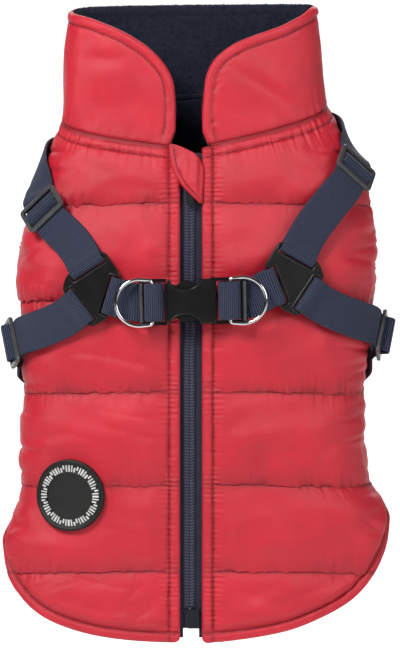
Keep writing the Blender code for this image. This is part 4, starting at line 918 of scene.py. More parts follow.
# ================================================================ collar
def collar_grid(left_count=104, right_count=106, rows=56, drop=0.0):
    """Angles and heights of the collar, [column, row], with each row's part."""
    left, right = (front + (180 - front) * np.linspace(0, 1, count) ** 1.35
                   for front, count in ((COLLAR_FRONT_LEFT, left_count),
                                        (COLLAR_FRONT_RIGHT, right_count)))
    angles = np.concatenate([-left, right[:-1][::-1]])
    parts = 0.5 - 0.5 * np.cos(np.pi * np.linspace(0, 1, rows))
    parts = 0.5 * parts + 0.5 * np.linspace(0, 1, rows)
    rim_left, rim_right = curve(RIM_LEFT), curve(RIM_RIGHT)
    at, z = [], []
    for angle in angles:
        rim = float((rim_left if angle < 0 else rim_right)(abs(angle))) - drop
        front = COLLAR_FRONT_LEFT if angle < 0 else COLLAR_FRONT_RIGHT
        back_shift = COLLAR_EDGE_BACK * math.exp(-(abs(angle) - front) / 6.0)
        shift = np.where(parts < 0.42, back_shift * (1 - np.minimum(1.0, 2.4 * parts)), 0.0)
        here = angle + math.copysign(1.0, angle) * shift
        foot = neck_line(here) + 0.2
        at.append(here)
        z.append(rim + (foot - rim) * (1 - parts))
    return np.array(at), np.array(z), parts


def edge_distance(points, edge):
    """Distance of each grid point from the free edge's points."""
    flat = points.reshape(-1, 3)
    best = np.full(len(flat), 1e9)
    for start in range(0, len(edge), 64):
        part = edge[start:start + 64]
        best = np.minimum(best, np.linalg.norm(flat[:, None] - part[None], axis=-1).min(1))
    return best.reshape(points.shape[:2])


def collar():
    at, z, parts = collar_grid()
    base = body_point(at, z)
    rim = base[:, -1]
    fine = []
    for line in (base[0], rim, base[-1][::-1]):
        for start, end in zip(line, line[1:]):
            fine += [start + (end - start) * step / 4 for step in range(4)]
    distance = edge_distance(base, np.array(fine))
    along = np.radians(wrapped(at)) * 52.0
    foot = z - neck_line(at)
    bulge = COLLAR_BULGE * np.sin(np.pi * np.minimum(parts, 0.97))[None, :]
    out = bulge + 0.9 * rough(along / 26, z / 22, 201.5) * ease(distance, 2, 14) * ease(foot, 2, 14)
    gather = rough(along / 2.3, z / 16, 203.5) + 0.9 * valley(along / 5.5, z / 22, 205.5)
    out = out + 0.8 * np.exp(-np.maximum(foot, 0) / 6) * gather
    out = out + 0.22 * rough(along / 5, z / 9, 207.5) * ease(distance, 4, 10)
    x = base[..., 0]
    from_x, from_z, steep, flat = x - 36.0, z - 33.0, 0.529, 0.849
    across_fold = from_x * steep + from_z * flat               # diagonal fold on the right half
    along_fold = from_x * flat - from_z * steep
    fold = -1.5 * bell(across_fold, 2.6) + 1.1 * bell(across_fold - 6.0, 5.0)
    fold = fold * bell(along_fold - 2.0, 13.0) * (0.7 + 0.3 * ease(along_fold, -8, 14))
    out = out + np.where(np.abs(wrapped(at)) < 90, fold, 0.0)
    dent = (bell(x + 46.0, 9.0) * bell(z - 46.0, 4.0)
            + 0.7 * bell(x + 30.0, 4.0) * bell(z - 26.0, 9.0))
    out = out - 1.1 * np.where(np.abs(wrapped(at)) < 90, dent, 0.0)
    from_stitch = distance - COLLAR_STITCH
    hem = np.clip(1 - ((distance - 2.4) / 2.6) ** 2, 0, 1)
    out = out + 0.55 * hem - 0.6 * bell(from_stitch, 0.7)
    pucker = rough(along / 1.8, z / 1.8, 209.5) + 0.8 * valley(along / 4, z / 4, 213.5, 0.3)
    out = out + 0.45 * bell(from_stitch, 3.4) * pucker
    out = out - 0.9 * bell(distance, 0.6) - 1.3 * bell(foot, 1.1)
    outer = off_body(at, z, out)
    points, faces = wall(outer, off_body(at, z, -COLLAR), 2)
    # painted shade along the collar's stitching and at its foot, fading upward from the seam
    painted_groove_shade = np.maximum.reduce([0.6 * bell(from_stitch, 0.9), 0.85 * bell(foot, 1.8),
                                0.4 * np.exp(-np.maximum(foot, 0) / 3)])
    piece = new_piece("collar_shell", points, faces, NYLON, "shell_red", node="collar_outer",
                      shade=tinted(points, painted_groove_shade), merge=MERGE)
    collar_stitches(at, z, parts, distance, out)
    collar_lining()


def collar_stitches(at, z, parts, distance, out):
    """The line of topstitching inside the collar's free edge, down both fronts."""
    line_at, line_z = [], []
    rows = np.linspace(0, 1, 260)
    for column in range(len(at)):
        if distance[column].max() > COLLAR_STITCH:
            over = np.interp(rows, parts, distance[column])
            last = rows[np.where(over >= COLLAR_STITCH)[0][-1]]
            line_at.append(np.interp(last, parts, at[column]))
            line_z.append(np.interp(last, parts, z[column]))
    line_at, line_z = np.array(line_at), np.array(line_z)
    sewn = []
    for side, foot in ((-1, 7.0), (1, 6.0)):
        here = line_at < 0 if side < 0 else line_at >= 0
        a, h = line_at[here], line_z[here]
        ends = np.argmin(np.abs(a))
        down = np.linspace(h[ends], foot, 40)
        up_a, up_z = (a, h) if ends == len(a) - 1 else (a[::-1], h[::-1])
        foot_a = np.interp(down, (0, 20), (up_a[-1] * 1.12, up_a[-1]))
        line_a, line_h = np.concatenate([up_a, foot_a]), np.concatenate([up_z, down])
        columns = collar_height(line_a, line_h, at, z, out) + 0.05
        sewn.append((off_body(line_a, line_h, columns), body_normal(line_a, line_h)))
    stitches("stitches_collar", sewn)


def collar_lining():
    """Fleece inside the collar, its pile, and the fuzz along the free edge."""
    at, z, parts = collar_grid(60, 62, 40, drop=0.2)
    base = -COLLAR - GAP
    below = z[:, -1:] - z
    lumps = 0.3 * rough(np.radians(wrapped(at)) * 6.0, z / 8, 211.5)
    lumps = lumps - 0.9 * bell(below - 2.2, 2.0) + 0.5 * bell(below - 4.9, 0.8)
    inner = off_body(at, z, base - LINING + lumps)
    points, faces = wall(off_body(at, z, base), inner)
    piece = new_piece("collar_fleece", points, faces, FLEECE, "lining_navy", node="collar_lining",
                      merge=MERGE)
    chance = np.random.default_rng(21)
    turned = np.where(at < 0, at + 360, at)
    last_row = len(parts) - 1.001

    def sample(column, row):
        """Angles and heights at places between the grid's columns and rows."""
        low, part = column.astype(int), column - column.astype(int)
        low_row, part_row = row.astype(int), row - row.astype(int)
        found = []
        for grid in (turned, z):
            first, second = (
                grid[one, low_row] * (1 - part_row) + grid[one, low_row + 1] * part_row
                for one in (low, low + 1))
            found.append(first * (1 - part) + second * part)
        return found

    fibres, last_column = 30000, len(at) - 1.001
    column = chance.uniform(0, last_column, fibres)
    angle, height = sample(column, chance.uniform(0, 1, fibres) * last_row)
    pile("fleece_pile_collar", off_body(angle, height, base - LINING + 0.1),
         -body_normal(angle, height), PILE, 22)
    fibres = 9000
    column = chance.uniform(0, last_column, fibres)
    angle, height = sample(column, np.full(fibres, last_row))
    depth = base - chance.uniform(0.2, LINING, fibres)
    up = np.broadcast_to([0.0, 0.0, 1.0], (fibres, 3))
    pile("fleece_fuzz_rim", off_body(angle, height - 0.2, depth), up, RIM_PILE, 23)


def collar_height(angles, heights, at, z, out):
    """Outward height of the collar's surface at places on it, from the nearest grid point."""
    found = []
    for angle, height in zip(angles, heights):
        gap = (wrapped(at) - angle) ** 2 + (z - height) ** 2
        gap = gap + np.where(np.sign(wrapped(at)) != np.sign(angle), 1e6 * (np.abs(angle) < 170), 0)
        found.append(out.ravel()[gap.argmin()])
    found = np.array(found)
    found[1:-1] = (found[:-2] + 2 * found[1:-1] + found[2:]) / 4
    return found


# ================================================================ chin flap
def flap():
    def seat(x, z):
        crown = np.exp(-((x - ZIP_X) / 4.6) ** 4 - ((z + 17.5) / 13.0) ** 4)
        return FLAP_SEAT + FLAP_CROWN * crown

    left, right = (curve([(row[0], row[column]) for row in FLAP_ROWS[::-1]]) for column in (1, 2))
    top, bottom = FLAP_ROWS[0][0], FLAP_ROWS[-1][0]
    rows = np.linspace(top, bottom, 64)
    parts = np.linspace(0, 1, 34)
    x = left(rows)[None, :] + (right(rows) - left(rows))[None, :] * parts[:, None]
    z = np.broadcast_to(rows[None, :], x.shape).copy()
    from_left = (x - left(rows)[None, :]) * FLAP_LEFT_SLANT
    from_right = right(rows)[None, :] - x
    edge = np.minimum(np.minimum(from_left, from_right + 0.01), (z - bottom) * 0.6)
    from_stitch = from_left - FLAP_STITCH
    out = seat(x, z) + FLAP
    out = out - 0.9 * bell(edge, 0.6) - 0.45 * bell(from_stitch, 0.55) * ease(z + 25, 0, 3)
    out = (out + 0.3 * rough(x / 2.4, z / 7, 301.5)
           + 0.2 * rough(x / 6, z / 3, 303.5) * ease(edge, 1, 3))
    turned_over = 3.2 + 0.05 * (z + 10)
    out = out + 0.55 * bell(x - turned_over, 1.2) * bell(z + 11.5, 6.5)
    angle = angle_of(x, z)
    outer = off_body(angle, z, out)
    points, faces = wall(outer, off_body(angle, z, seat(x, z)))
    # painted shade along the flap's stitching and its edge
    painted_groove_shade = np.maximum(0.5 * bell(from_stitch, 0.7), 0.3 * bell(edge, 0.7))
    piece = new_piece("flap_shell", points, faces, NYLON, "shell_red", node="chin_flap",
                      shade=tinted(points, painted_groove_shade), merge=MERGE)
    rows = np.linspace(0.0, -24.5, 60)
    x = left(rows) + FLAP_STITCH / FLAP_LEFT_SLANT
    line = off_body(angle_of(x, rows), rows, seat(x, rows) + FLAP - 0.3)
    stitches("stitches_flap", [(line, body_normal(angle_of(x, rows), rows))],
             pitch=2.2, length=1.7, radius=0.2)


# ================================================================ zip and patch
def wires(name, paths, radius, sides, surface, slot, **looks):
    """Round wires along open lines of points, as one piece."""
    points, faces = [], []
    turns = np.arange(sides) * 2 * math.pi / sides
    for line in paths:
        line = np.array(line, float)
        faces += ring_faces(len(line), sides, len(points), capped=True)
        for centre, way in zip(line, unit(np.gradient(line, axis=0))):
            side = unit(np.cross(way, np.array([0.13, -1.0, 0.07])))
            up = np.cross(side, way)
            points += [centre + radius * (math.cos(turn) * side + math.sin(turn) * up)
                       for turn in turns]
    new_piece(name, points, faces, surface, slot, **looks)


def woven_strip(name, node, x, z, outer, inner):
    """Strip of the zip between two levels, its texture running in metres."""
    xs, zs = np.meshgrid(x, z, indexing="ij")
    angle = angle_of(xs, zs)
    points, faces = wall(off_body(angle, zs, outer(xs, zs)), off_body(angle, zs, inner))
    uv = np.stack([xs.ravel(), zs.ravel()], -1) * MM
    new_piece(name, points, faces, TAPE, "tape_navy", node=node, uvs=np.concatenate([uv, uv]))


def zip_looks():
    """Woven tapes, the chain with its chevrons of thread, and the pull's wire loop."""
    tape_out = -SHELL - GAP
    for side, label, _ in SIDES:
        woven_strip("zip_tape_woven_" + label, "zip_tape_" + label,
                    np.linspace(ZIP_X + side * TAPE_MEETS, side * TAPE_EDGE, 9),
                    np.linspace(ZIP_TOP, ZIP_BOTTOM, 220),
                    lambda x, z: tape_out + 0.12 * rough(x / 3, z / 5, 401.5),
                    tape_out - TAPE_THICK)
    base = tape_out + GAP
    part_across = np.array([-1.0, -0.92, -0.5, -0.06, 0.0, 0.06, 0.5, 0.92, 1.0])
    crown = np.array([0.0, 0.55, 0.85, 0.75, 0.45, 0.75, 0.85, 0.55, 0.0])[:, None]
    woven_strip("zip_chain_woven", "zip_chain", ZIP_X + CHAIN_WIDTH / 2 * part_across,
                np.linspace(CHAIN_TOP, CHAIN_BOTTOM, 180),
                lambda _, z: base + crown + np.zeros_like(z), base - 0.05)
    tooth_pitch, tooth_margin = 1.5, 0.9
    tooth = ((0.25, 0.15, 0.62), (0.9, -0.42, 0.98), (1.7, 0.42, 1.02), (2.5, -0.2, 0.75))
    teeth = []
    for z in np.arange(CHAIN_TOP - tooth_margin, CHAIN_BOTTOM + tooth_margin, -tooth_pitch):
        for side in (-1, 1):
            places = [(ZIP_X + side * across, z + up, level) for across, up, level in tooth]
            teeth.append([off_body(angle_of(px, pz), pz, base + level)
                          for px, pz, level in places])
    wires("zip_chevrons", teeth, 0.27, 6, COIL, "tape_navy")
    half, top, bend, end = 1.5, -20.4, -23.0, -26.0             # the pull's wire loop
    loop = [(half, top), (half, bend)]
    loop += [(half * math.cos(turn), end - half * math.sin(turn))
             for turn in np.linspace(0, math.pi, 9)]
    loop += [(-half, bend), (-half, top)]
    line = [off_body(angle_of(ZIP_X + x, z), z, -0.35 + 0.03 * (z - top)) for x, z in loop]
    wires("zip_pull_loop", [line], 0.4, 8, DARK_METAL, "plastic_black")


def put_materials():
    """Materials and slightly rounded edges on the solids that stay as they are."""
    # the sliders take the lighter plastic, a painted highlight on their black frames
    surfaces = {"buckle": PLASTIC, "joiner": PLASTIC, "slider": PLASTIC_PAINTED_HIGHLIGHT, "zip_end_box": FILM,
                "zip_slider": DARK_METAL}
    for name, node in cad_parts.items():
        for surface in [made for start, made in surfaces.items() if name.startswith(start)]:
            node.data.materials[0] = surface
            edge = node.modifiers.new("edge", "BEVEL")
            edge.width = 0.22 * MM
            edge.segments = 2
            edge.limit_method = "ANGLE"
            edge.angle_limit = math.radians(28)
            edge.use_clamp_overlap = True


def ladder_beads(place):
    """Rounded outer bars of the buckle's ladder ends, and the lips of its scallops."""
    origin, ahead, across, out = place

    def at(x, y, h):
        return origin + ahead * x + across * y + out * h

    bar_ends, bar_half, bar_drop = (-25.5, 27.5), 10.6, 0.55
    heights = np.linspace(-bar_half, bar_half, 16)
    bars = [[at(x, y, BAR_LEVEL + BAR_HALF - bar_drop) for y in heights] for x in bar_ends]
    # the buckle's black outer bars in the lighter plastic: a painted highlight
    wires("ladder_bars", bars, 1.05, 12, PLASTIC_PAINTED_HIGHLIGHT, "plastic_black")
    middle, reach, edge, depth, level = -3.0, 8.1, 11.4, 5.5, 3.5
    turns = np.linspace(math.pi, 0.0, 17)
    lips = [[at(middle + reach * math.cos(turn), side * (edge - depth * math.sin(turn)),
                BAR_LEVEL + level) for turn in turns] for side in (-1, 1)]
    wires("buckle_lips", lips, 0.35, 8, PLASTIC, "plastic_black")


def joiner_rims(plates):
    """Raised bead round three sides of each joiner's slots."""
    half = SLOT_HALF + 0.75
    inner = -(JOINER_BAR / 2 + JOINER_SLOT + 0.8)
    start, bend, cut = 0.2, 1.2, 0.35
    corners = [(start, -half), (inner + bend, -half), (inner + cut, -half + cut),
               (inner, -half + bend), (inner, half - bend), (inner + cut, half - cut),
               (inner + bend, half), (start, half)]
    level = PLATE_LEVEL + PLATE_HALF - 0.05
    lines = []
    for plate in plates.values():
        round_it, up, out = plate["axes"]
        for arm in JOINER_ARMS:
            bar, outward = bar_of(plate, arm)
            length = np.array([-outward[1], outward[0]])
            flat = [bar + outward * a + length * b for a, b in corners]
            fine = [flat[0]]
            for first, second in zip(flat, flat[1:]):
                fine += [first + (second - first) * part / 4 for part in range(1, 5)]
            lines.append([plate["origin"] + round_it * x + up * y + out * level for x, y in fine])
    wires("joiner_rims", lines, 0.5, 8, PLASTIC, "plastic_black")


def patch():
    """Round rubber badge: raised rim, a ring of plain ticks and a plain middle."""
    profile = (                                                 # radius, height above the face
        (0.0, 0.0), (3.0, 0.0), (6.0, 0.0), (9.0, 0.0), (11.2, 0.0), (11.9, 0.05), (12.3, 0.1),
        (12.6, -0.25), (14.0, -0.25), (15.6, -0.25), (16.2, -0.1), (16.7, 0.45), (17.2, 0.7),
        (17.8, 0.72), (18.35, 0.6), (18.65, 0.3), (18.7, -0.3),
    )
    tick_sizes = ((12.6, 15.9, 0.46), (12.6, 15.9, 0.34), (13.9, 15.9, 0.42),   # from, to, half
                  (12.6, 14.9, 0.42), (12.6, 15.9, 0.30))
    spokes, ticks, disc_radius = 96, 60, 11.0
    centre = float(distance_round(float(angle_of(PATCH_X, PATCH_Z)), PATCH_Z))
    seat = PATCH_SEAT + 2 * GAP

    def place(radius, turn, level):
        along, z = centre + radius * math.cos(turn), PATCH_Z + radius * math.sin(turn)
        return off_body(float(angle_at(along, z)), z, seat + level)

    rings = [(radius, PATCH_THICK + up) for radius, up in profile]
    rings += [(PATCH_RADIUS, 0.0), (0.0, 0.0)]
    points = [place(radius, 2 * math.pi * spoke / spokes, level)
              for radius, level in rings for spoke in range(spokes)]
    piece = new_piece("patch_rubber", points, ring_faces(len(rings), spokes), RUBBER,
                      "rubber_black", node="patch", merge=MERGE)
    piece.data.materials.append(RUBBER_DISC)
    for face in piece.data.polygons:
        middle = face.center / MM
        reach = math.hypot(middle.x - PATCH_X, middle.z - PATCH_Z)
        face.material_index = 1 if reach < disc_radius else 0
    quads = ((0, 1, 2, 3), (4, 5, 6, 7), (0, 1, 5, 4), (1, 2, 6, 5), (2, 3, 7, 6), (3, 0, 4, 7))
    points, faces = [], []
    for tick in range(ticks):
        turn = 2 * math.pi * tick / ticks
        inner, outer, wide = tick_sizes[tick % len(tick_sizes)]
        faces += [tuple(len(points) + corner for corner in quad) for quad in quads]
        points += [place(radius, turn + offset / radius, level)
                   for level in (PATCH_THICK - 0.4, PATCH_THICK + 0.12)
                   for radius, offset in ((inner, -wide), (inner, wide), (outer, wide),
                                          (outer, -wide))]
    new_piece("patch_ticks", points, faces, MARKS, "rubber_black", smooth=False)


# ================================================================ harness ground
ROUND_Z = np.arange(-264.0, 85.0, 4.0)
ROUND_ANGLES = np.arange(-180.0, 181.0, 2.0)


def over_puffs(angle):
    return puff_height(angle) + STRAP_SEAT


def round_table():
    angles, heights = np.meshgrid(ROUND_ANGLES, ROUND_Z)
    places = off_body(angles, heights, over_puffs(angles))
    steps = np.linalg.norm(np.diff(places, axis=1), axis=-1)
    table = np.concatenate([np.zeros((len(ROUND_Z), 1)), np.cumsum(steps, axis=1)], axis=1)
    middle = len(ROUND_ANGLES) // 2
    return table - table[:, middle:middle + 1]


ROUND = round_table()


def round_row(z):
    place = np.clip((z - ROUND_Z[0]) / 4.0, 0, len(ROUND_Z) - 1.001)
    row = int(place)
    return ROUND[row] * (row + 1 - place) + ROUND[row + 1] * (place - row)


def distance_round(angle, z):
    return np.interp(angle, ROUND_ANGLES, round_row(z))


def angle_at(along, z):
    return np.interp(along, round_row(z), ROUND_ANGLES)


def ground(along, z):
    angle = float(angle_at(along, z))
    return off_body(angle, z, float(over_puffs(angle)))


def ground_frame(along, z):
    round_it = unit(ground(along + 1.0, z) - ground(along - 1.0, z))
    out = unit(np.cross(round_it, ground(along, z + 1.0) - ground(along, z - 1.0)))
    return round_it, np.cross(out, round_it), out


class Route:
    """A strap's line over the puffs, as in the solids."""

    STEP = 1.5
    BLEND = 12.0
    MOST_SAG, MOST_RISE = 2.5, 2.0
    PULLS = 2500              # rounds that draw the line taut

    def __init__(self, places, zero_at, pins):
        places = np.array(places, float)
        lengths = run_along(places)
        fine = np.arange(0, lengths[-1], 0.25)
        line = np.stack([curve(list(zip(lengths, column)))(fine) for column in places.T], -1)
        run = run_along(line)
        marks = np.interp(lengths, fine, run)
        planned = np.arange(0.0, run[-1], self.STEP)
        flat = np.stack([np.interp(planned, run, column) for column in line.T], -1)
        self.settle(planned, marks, flat, pins)
        true = run_along(self.line)
        marks = np.interp(marks, planned, true)
        self.u, self.marks = true - marks[zero_at], marks - marks[zero_at]

    def settle(self, planned, marks, flat, pins):
        base = np.array([ground(along, z) for along, z in flat])
        frames = [ground_frame(along, z) for along, z in flat]
        out = np.array([found[2] for found in frames])
        pinned = np.zeros(len(planned), bool)
        away = np.full(len(planned), 99.0)
        pulls = np.zeros_like(base)
        normals = out.copy()
        for place, (low, high, origin, ahead, normal) in pins.items():
            u = planned - marks[place]
            inside = (u >= low) & (u <= high)
            straight = origin + ahead * u[:, None]
            here = np.maximum(0.0, np.maximum(low - u, u - high))
            near = 1 - ease(here, 0.0, self.BLEND)
            ends = np.where(inside)[0][[0, -1]]
            for end, beyond in ((ends[0], u < low), (ends[1], u > high)):
                pull = straight[end] - base[end]
                pulls[beyond] += (near[:, None] * pull)[beyond]
            normals = normals * (1 - near[:, None]) + normal * near[:, None]
            base[inside], out[inside] = straight[inside], normal
            pinned |= inside
            away = np.minimum(away, here)
        pulls -= np.sum(pulls * out, axis=-1, keepdims=True) * out
        base = base + np.where(pinned[:, None], 0.0, pulls)
        lift = np.zeros(len(planned))
        for _ in range(self.PULLS):
            line = base + out * lift[:, None]
            change = np.sum(((line[:-2] + line[2:]) / 2 - line[1:-1]) * out[1:-1], axis=-1)
            lift[1:-1] = np.where(pinned[1:-1], 0.0, np.maximum(0.0, lift[1:-1] + change))
        self.line = base + out * lift[:, None]
        tangent = unit(np.gradient(self.line, axis=0))
        self.normal = unit(normals - np.sum(normals * tangent, axis=-1, keepdims=True) * tangent)
        self.across = unit(np.cross(self.normal, tangent))
        way = unit(np.gradient(flat, axis=0))
        follow = ease(away, 0.5, 9.0) * (1 - ease(lift, 0.2, 1.5))
        self.edges = []
        for s in (-WEB_WIDTH / 2, WEB_WIDTH / 2):
            beside = np.array([ground(along - turn[1] * s, z + turn[0] * s)
                               for (along, z), turn in zip(flat, way)])
            sag = np.sum((beside - self.line - self.across * s) * self.normal, axis=-1)
            sag = np.clip(sag, -self.MOST_SAG, self.MOST_RISE) * follow
            for _ in range(8):
                sag[1:-1] = (sag[:-2] + 2 * sag[1:-1] + sag[2:]) / 4
                sag[pinned] = 0.0
            self.edges.append(sag)

    def at(self, u, columns):
        return np.array([np.interp(u, self.u, column) for column in columns.T])

    def directions(self, u):
        out = unit(self.at(u, self.normal))
        across = self.at(u, self.across)
        across = unit(across - out * (across @ out))
        return np.cross(across, out), across, out

    def point(self, u, s, h):
        _, across, out = self.directions(u)
        sag = np.interp(u, self.u, self.edges[int(s > 0)]) * (s / (WEB_WIDTH / 2)) ** 2
        return self.at(u, self.line) + across * s + out * (h + sag)


def joiner_corners(side, turn):
    corners = [(x * -side, up) for x, up in JOINER_CORNERS]
    angle = math.radians(turn)
    return [(x * math.cos(angle) - up * math.sin(angle),
             x * math.sin(angle) + up * math.cos(angle)) for x, up in corners]


def joiner(side, x, z, turn):
    along = float(distance_round(float(angle_of(x, z)), z))
    return dict(along=along, z=z, corners=joiner_corners(side, turn),
                origin=ground(along, z), axes=ground_frame(along, z))


def bar_of(plate, arm):
    first, second = (np.array(plate["corners"][place]) for place in JOINER_ARMS[arm])
    middle = (first + second) / 2
    along = unit(second - first)
    out = np.array([along[1], -along[0]])
    if out @ middle < 0:
        out = -out
    return middle - out * JOINER_BAR / 2, out


def pin_on(plate, arm, low, high, way=1):
    bar, outward = bar_of(plate, arm)
    round_it, up, out = plate["axes"]
    origin = plate["origin"] + round_it * bar[0] + up * bar[1]
    return low, high, origin, way * (round_it * outward[0] + up * outward[1]), out


def turn_round_bar(top, bottom, steps=10):
    radius = (top - bottom) / 2
    turns = [math.pi * step / steps for step in range(steps + 1)]
    return [(-0.6 - radius * math.sin(turn), bottom + radius + radius * math.cos(turn))
            for turn in turns]


def side_strap_line(slider, end, bulge):
    line = [(slider - 1.0, LAYER_1), (6.0, LAYER_1), (1.0, LAYER_1)]
    line += turn_round_bar(WRAP_LEVEL, LAYER_1)[::-1]
    line += [(1.2, WRAP_LEVEL), (3.4, (WRAP_LEVEL + LAYER_2) / 2), (6.0, LAYER_2)]
    line += [(slider - 7.2, LAYER_2)]
    line += hump_line(slider, HUMP_LEVEL + bulge, 4.3, 1.3)
    line += [(slider + 7.4, LAYER_2), (slider + 13.0, LAYER_1), (end, LAYER_1)]
    return line


def hump_line(middle, level, foot, head):
    rising = [(-foot - 0.9, LAYER_2), (-foot, LAYER_2 + 0.3), (-(foot + head) / 2, BAR_LEVEL),
              (-head - 0.1, level - 0.4), (-head + 0.8, level)]
    return ([(middle + u, h) for u, h in rising]
            + [(middle - u, h) for u, h in reversed(rising)])


def centre_strap_line(side, bar_end, joiner_bar):
    bar, slot = (19.8, 2.4) if side < 0 else (20.0, 3.2)
    down = bar_end - slot - 1.15
    start, finish = bar_end + 3.2, bar_end + 5.6
    line = [(start, LAYER_1), (17.4, LAYER_1), (15.6, LAYER_1 + 0.45), (14.65, 2.6),
            (14.5, 5.6), (15.2, 7.6), (17.2, RING_HUMP - 0.15), (bar, RING_HUMP),
            (down - 1.1, RING_HUMP - 0.6), (down - 0.1, RING_HUMP - 2.0), (down, BAR_LEVEL),
            (down + 0.5, LAYER_2 + 0.4), (down + 1.4, LAYER_2), (start, LAYER_2),
            (finish, LAYER_2)]
    around = [(joiner_bar - 3.0, (WRAP_LEVEL + LAYER_2) / 2), (joiner_bar - 1.2, WRAP_LEVEL)]
    around += [(joiner_bar - u, h) for u, h in turn_round_bar(WRAP_LEVEL, LAYER_1)]
    around += [(joiner_bar - 1.0, LAYER_1), (finish, LAYER_1)]
    return [(side * u, h) for u, h in line + around]


def softened(line, step=1.1):
    """The strap's line with its bends rounded and its long runs divided."""
    line = np.array(line, float)
    cut = [line[0]]
    for start, end in zip(line, line[1:]):
        length = np.linalg.norm(end - start)
        near = min(0.25, 0.7 / max(length, 1e-6))
        cut += [start + (end - start) * near, end - (end - start) * near]
    cut = np.array(cut + [line[-1]])
    fine = [cut[0]]
    for start, end in zip(cut, cut[1:]):
        parts = max(1, int(round(np.linalg.norm(end - start) / step)))
        fine += [start + (end - start) * part / parts for part in range(1, parts + 1)]
    keep = [0] + [k for k in range(1, len(fine)) if np.linalg.norm(fine[k] - fine[k - 1]) > 0.05]
    return np.array([fine[k] for k in keep])


WEB_SECTION = (            # upper half of the webbing's cross-section: across, part of its half
    (-9.8, 0.0), (-9.72, 0.55), (-9.4, 0.92), (-8.8, 1.0), (-6.0, 1.0), (-3.0, 1.0), (0.0, 1.0),
    (3.0, 1.0), (6.0, 1.0), (8.8, 1.0), (9.4, 0.92), (9.72, 0.55), (9.8, 0.0),
)


def webbing(name, node, route, middle):
    line = softened(middle)
    steps = unit(np.diff(line, axis=0))
    before, after = np.vstack([steps[:1], steps]), np.vstack([steps, steps[-1:]])
    lean = np.sqrt(np.clip((1 + np.sum(before * after, axis=-1)) / 2, 0.5, 1.0))
    normal = unit(np.stack([-(before + after)[:, 1], (before + after)[:, 0]], -1))
    run = run_along(line)
    outline = list(WEB_SECTION) + [(s, -part) for s, part in WEB_SECTION[::-1][1:-1]]
    points, uvs = [], []
    for place in range(len(line)):
        for s, part in outline:
            u, h = line[place] + normal[place] * part * WEB / 2 / lean[place]
            points.append(route.point(u, s, h))
            uvs.append((s * MM, run[place] * MM))
    faces = ring_faces(len(line), len(outline), capped=True)
    new_piece(name, points, faces, WEBBING, "webbing_navy", node=node, uvs=uvs)


def ring(label, side, place):
    """Round-wire ring on its hinge, finer than the solid."""
    sides, bend = 20, 1.9
    turns = [math.radians(-90 + 180 * step / 36) for step in range(37)]
    arc = [(RING_ARM + RING_HALF * math.cos(turn), RING_HALF * math.sin(turn)) for turn in turns]
    corners = []
    for corner, other in (((0.0, -RING_BAR_HALF), arc[0]), ((0.0, RING_BAR_HALF), arc[-1])):
        corner, other = np.array(corner), np.array(other)
        bar = np.array([0.0, -corner[1]]) - corner
        start, end = corner + unit(bar) * bend, corner + unit(other - corner) * bend
        corners.append([start * (1 - t) ** 2 + 2 * corner * t * (1 - t) + end * t ** 2
                        for t in np.linspace(0, 1, 9)])
    path = np.array(corners[0] + [np.array(place) for place in arc] + corners[1][::-1])
    ahead = unit(np.roll(path, -1, axis=0) - np.roll(path, 1, axis=0))
    points = []
    for (x, y), (dx, dy) in zip(path, ahead):
        for corner in range(sides):
            turn = 2 * math.pi * (corner + 0.5) / sides
            reach = RING_WIRE * math.cos(turn)
            points.append((x + dy * reach, y - dx * reach, RING_WIRE * math.sin(turn)))
    origin, ahead_way, across, out = place
    hinge = Matrix(np.column_stack([ahead_way, across, out]).tolist()).to_4x4()
    hinge.translation = Vector(origin + ahead_way * side * RING_PLACE + out * RING_LEVEL)
    if side < 0:
        hinge = hinge @ Matrix.Rotation(math.pi, 4, "Z")
    hinge = hinge @ Matrix.Rotation(-math.radians(RING_TILT), 4, "Y")
    new_piece("ring_wire_" + label, [hinge @ Vector(point) for point in points],
              ring_faces(len(path), sides, closed=True), CHROME, "chrome",
              body="lead_ring_" + label, node="d_ring_" + label)


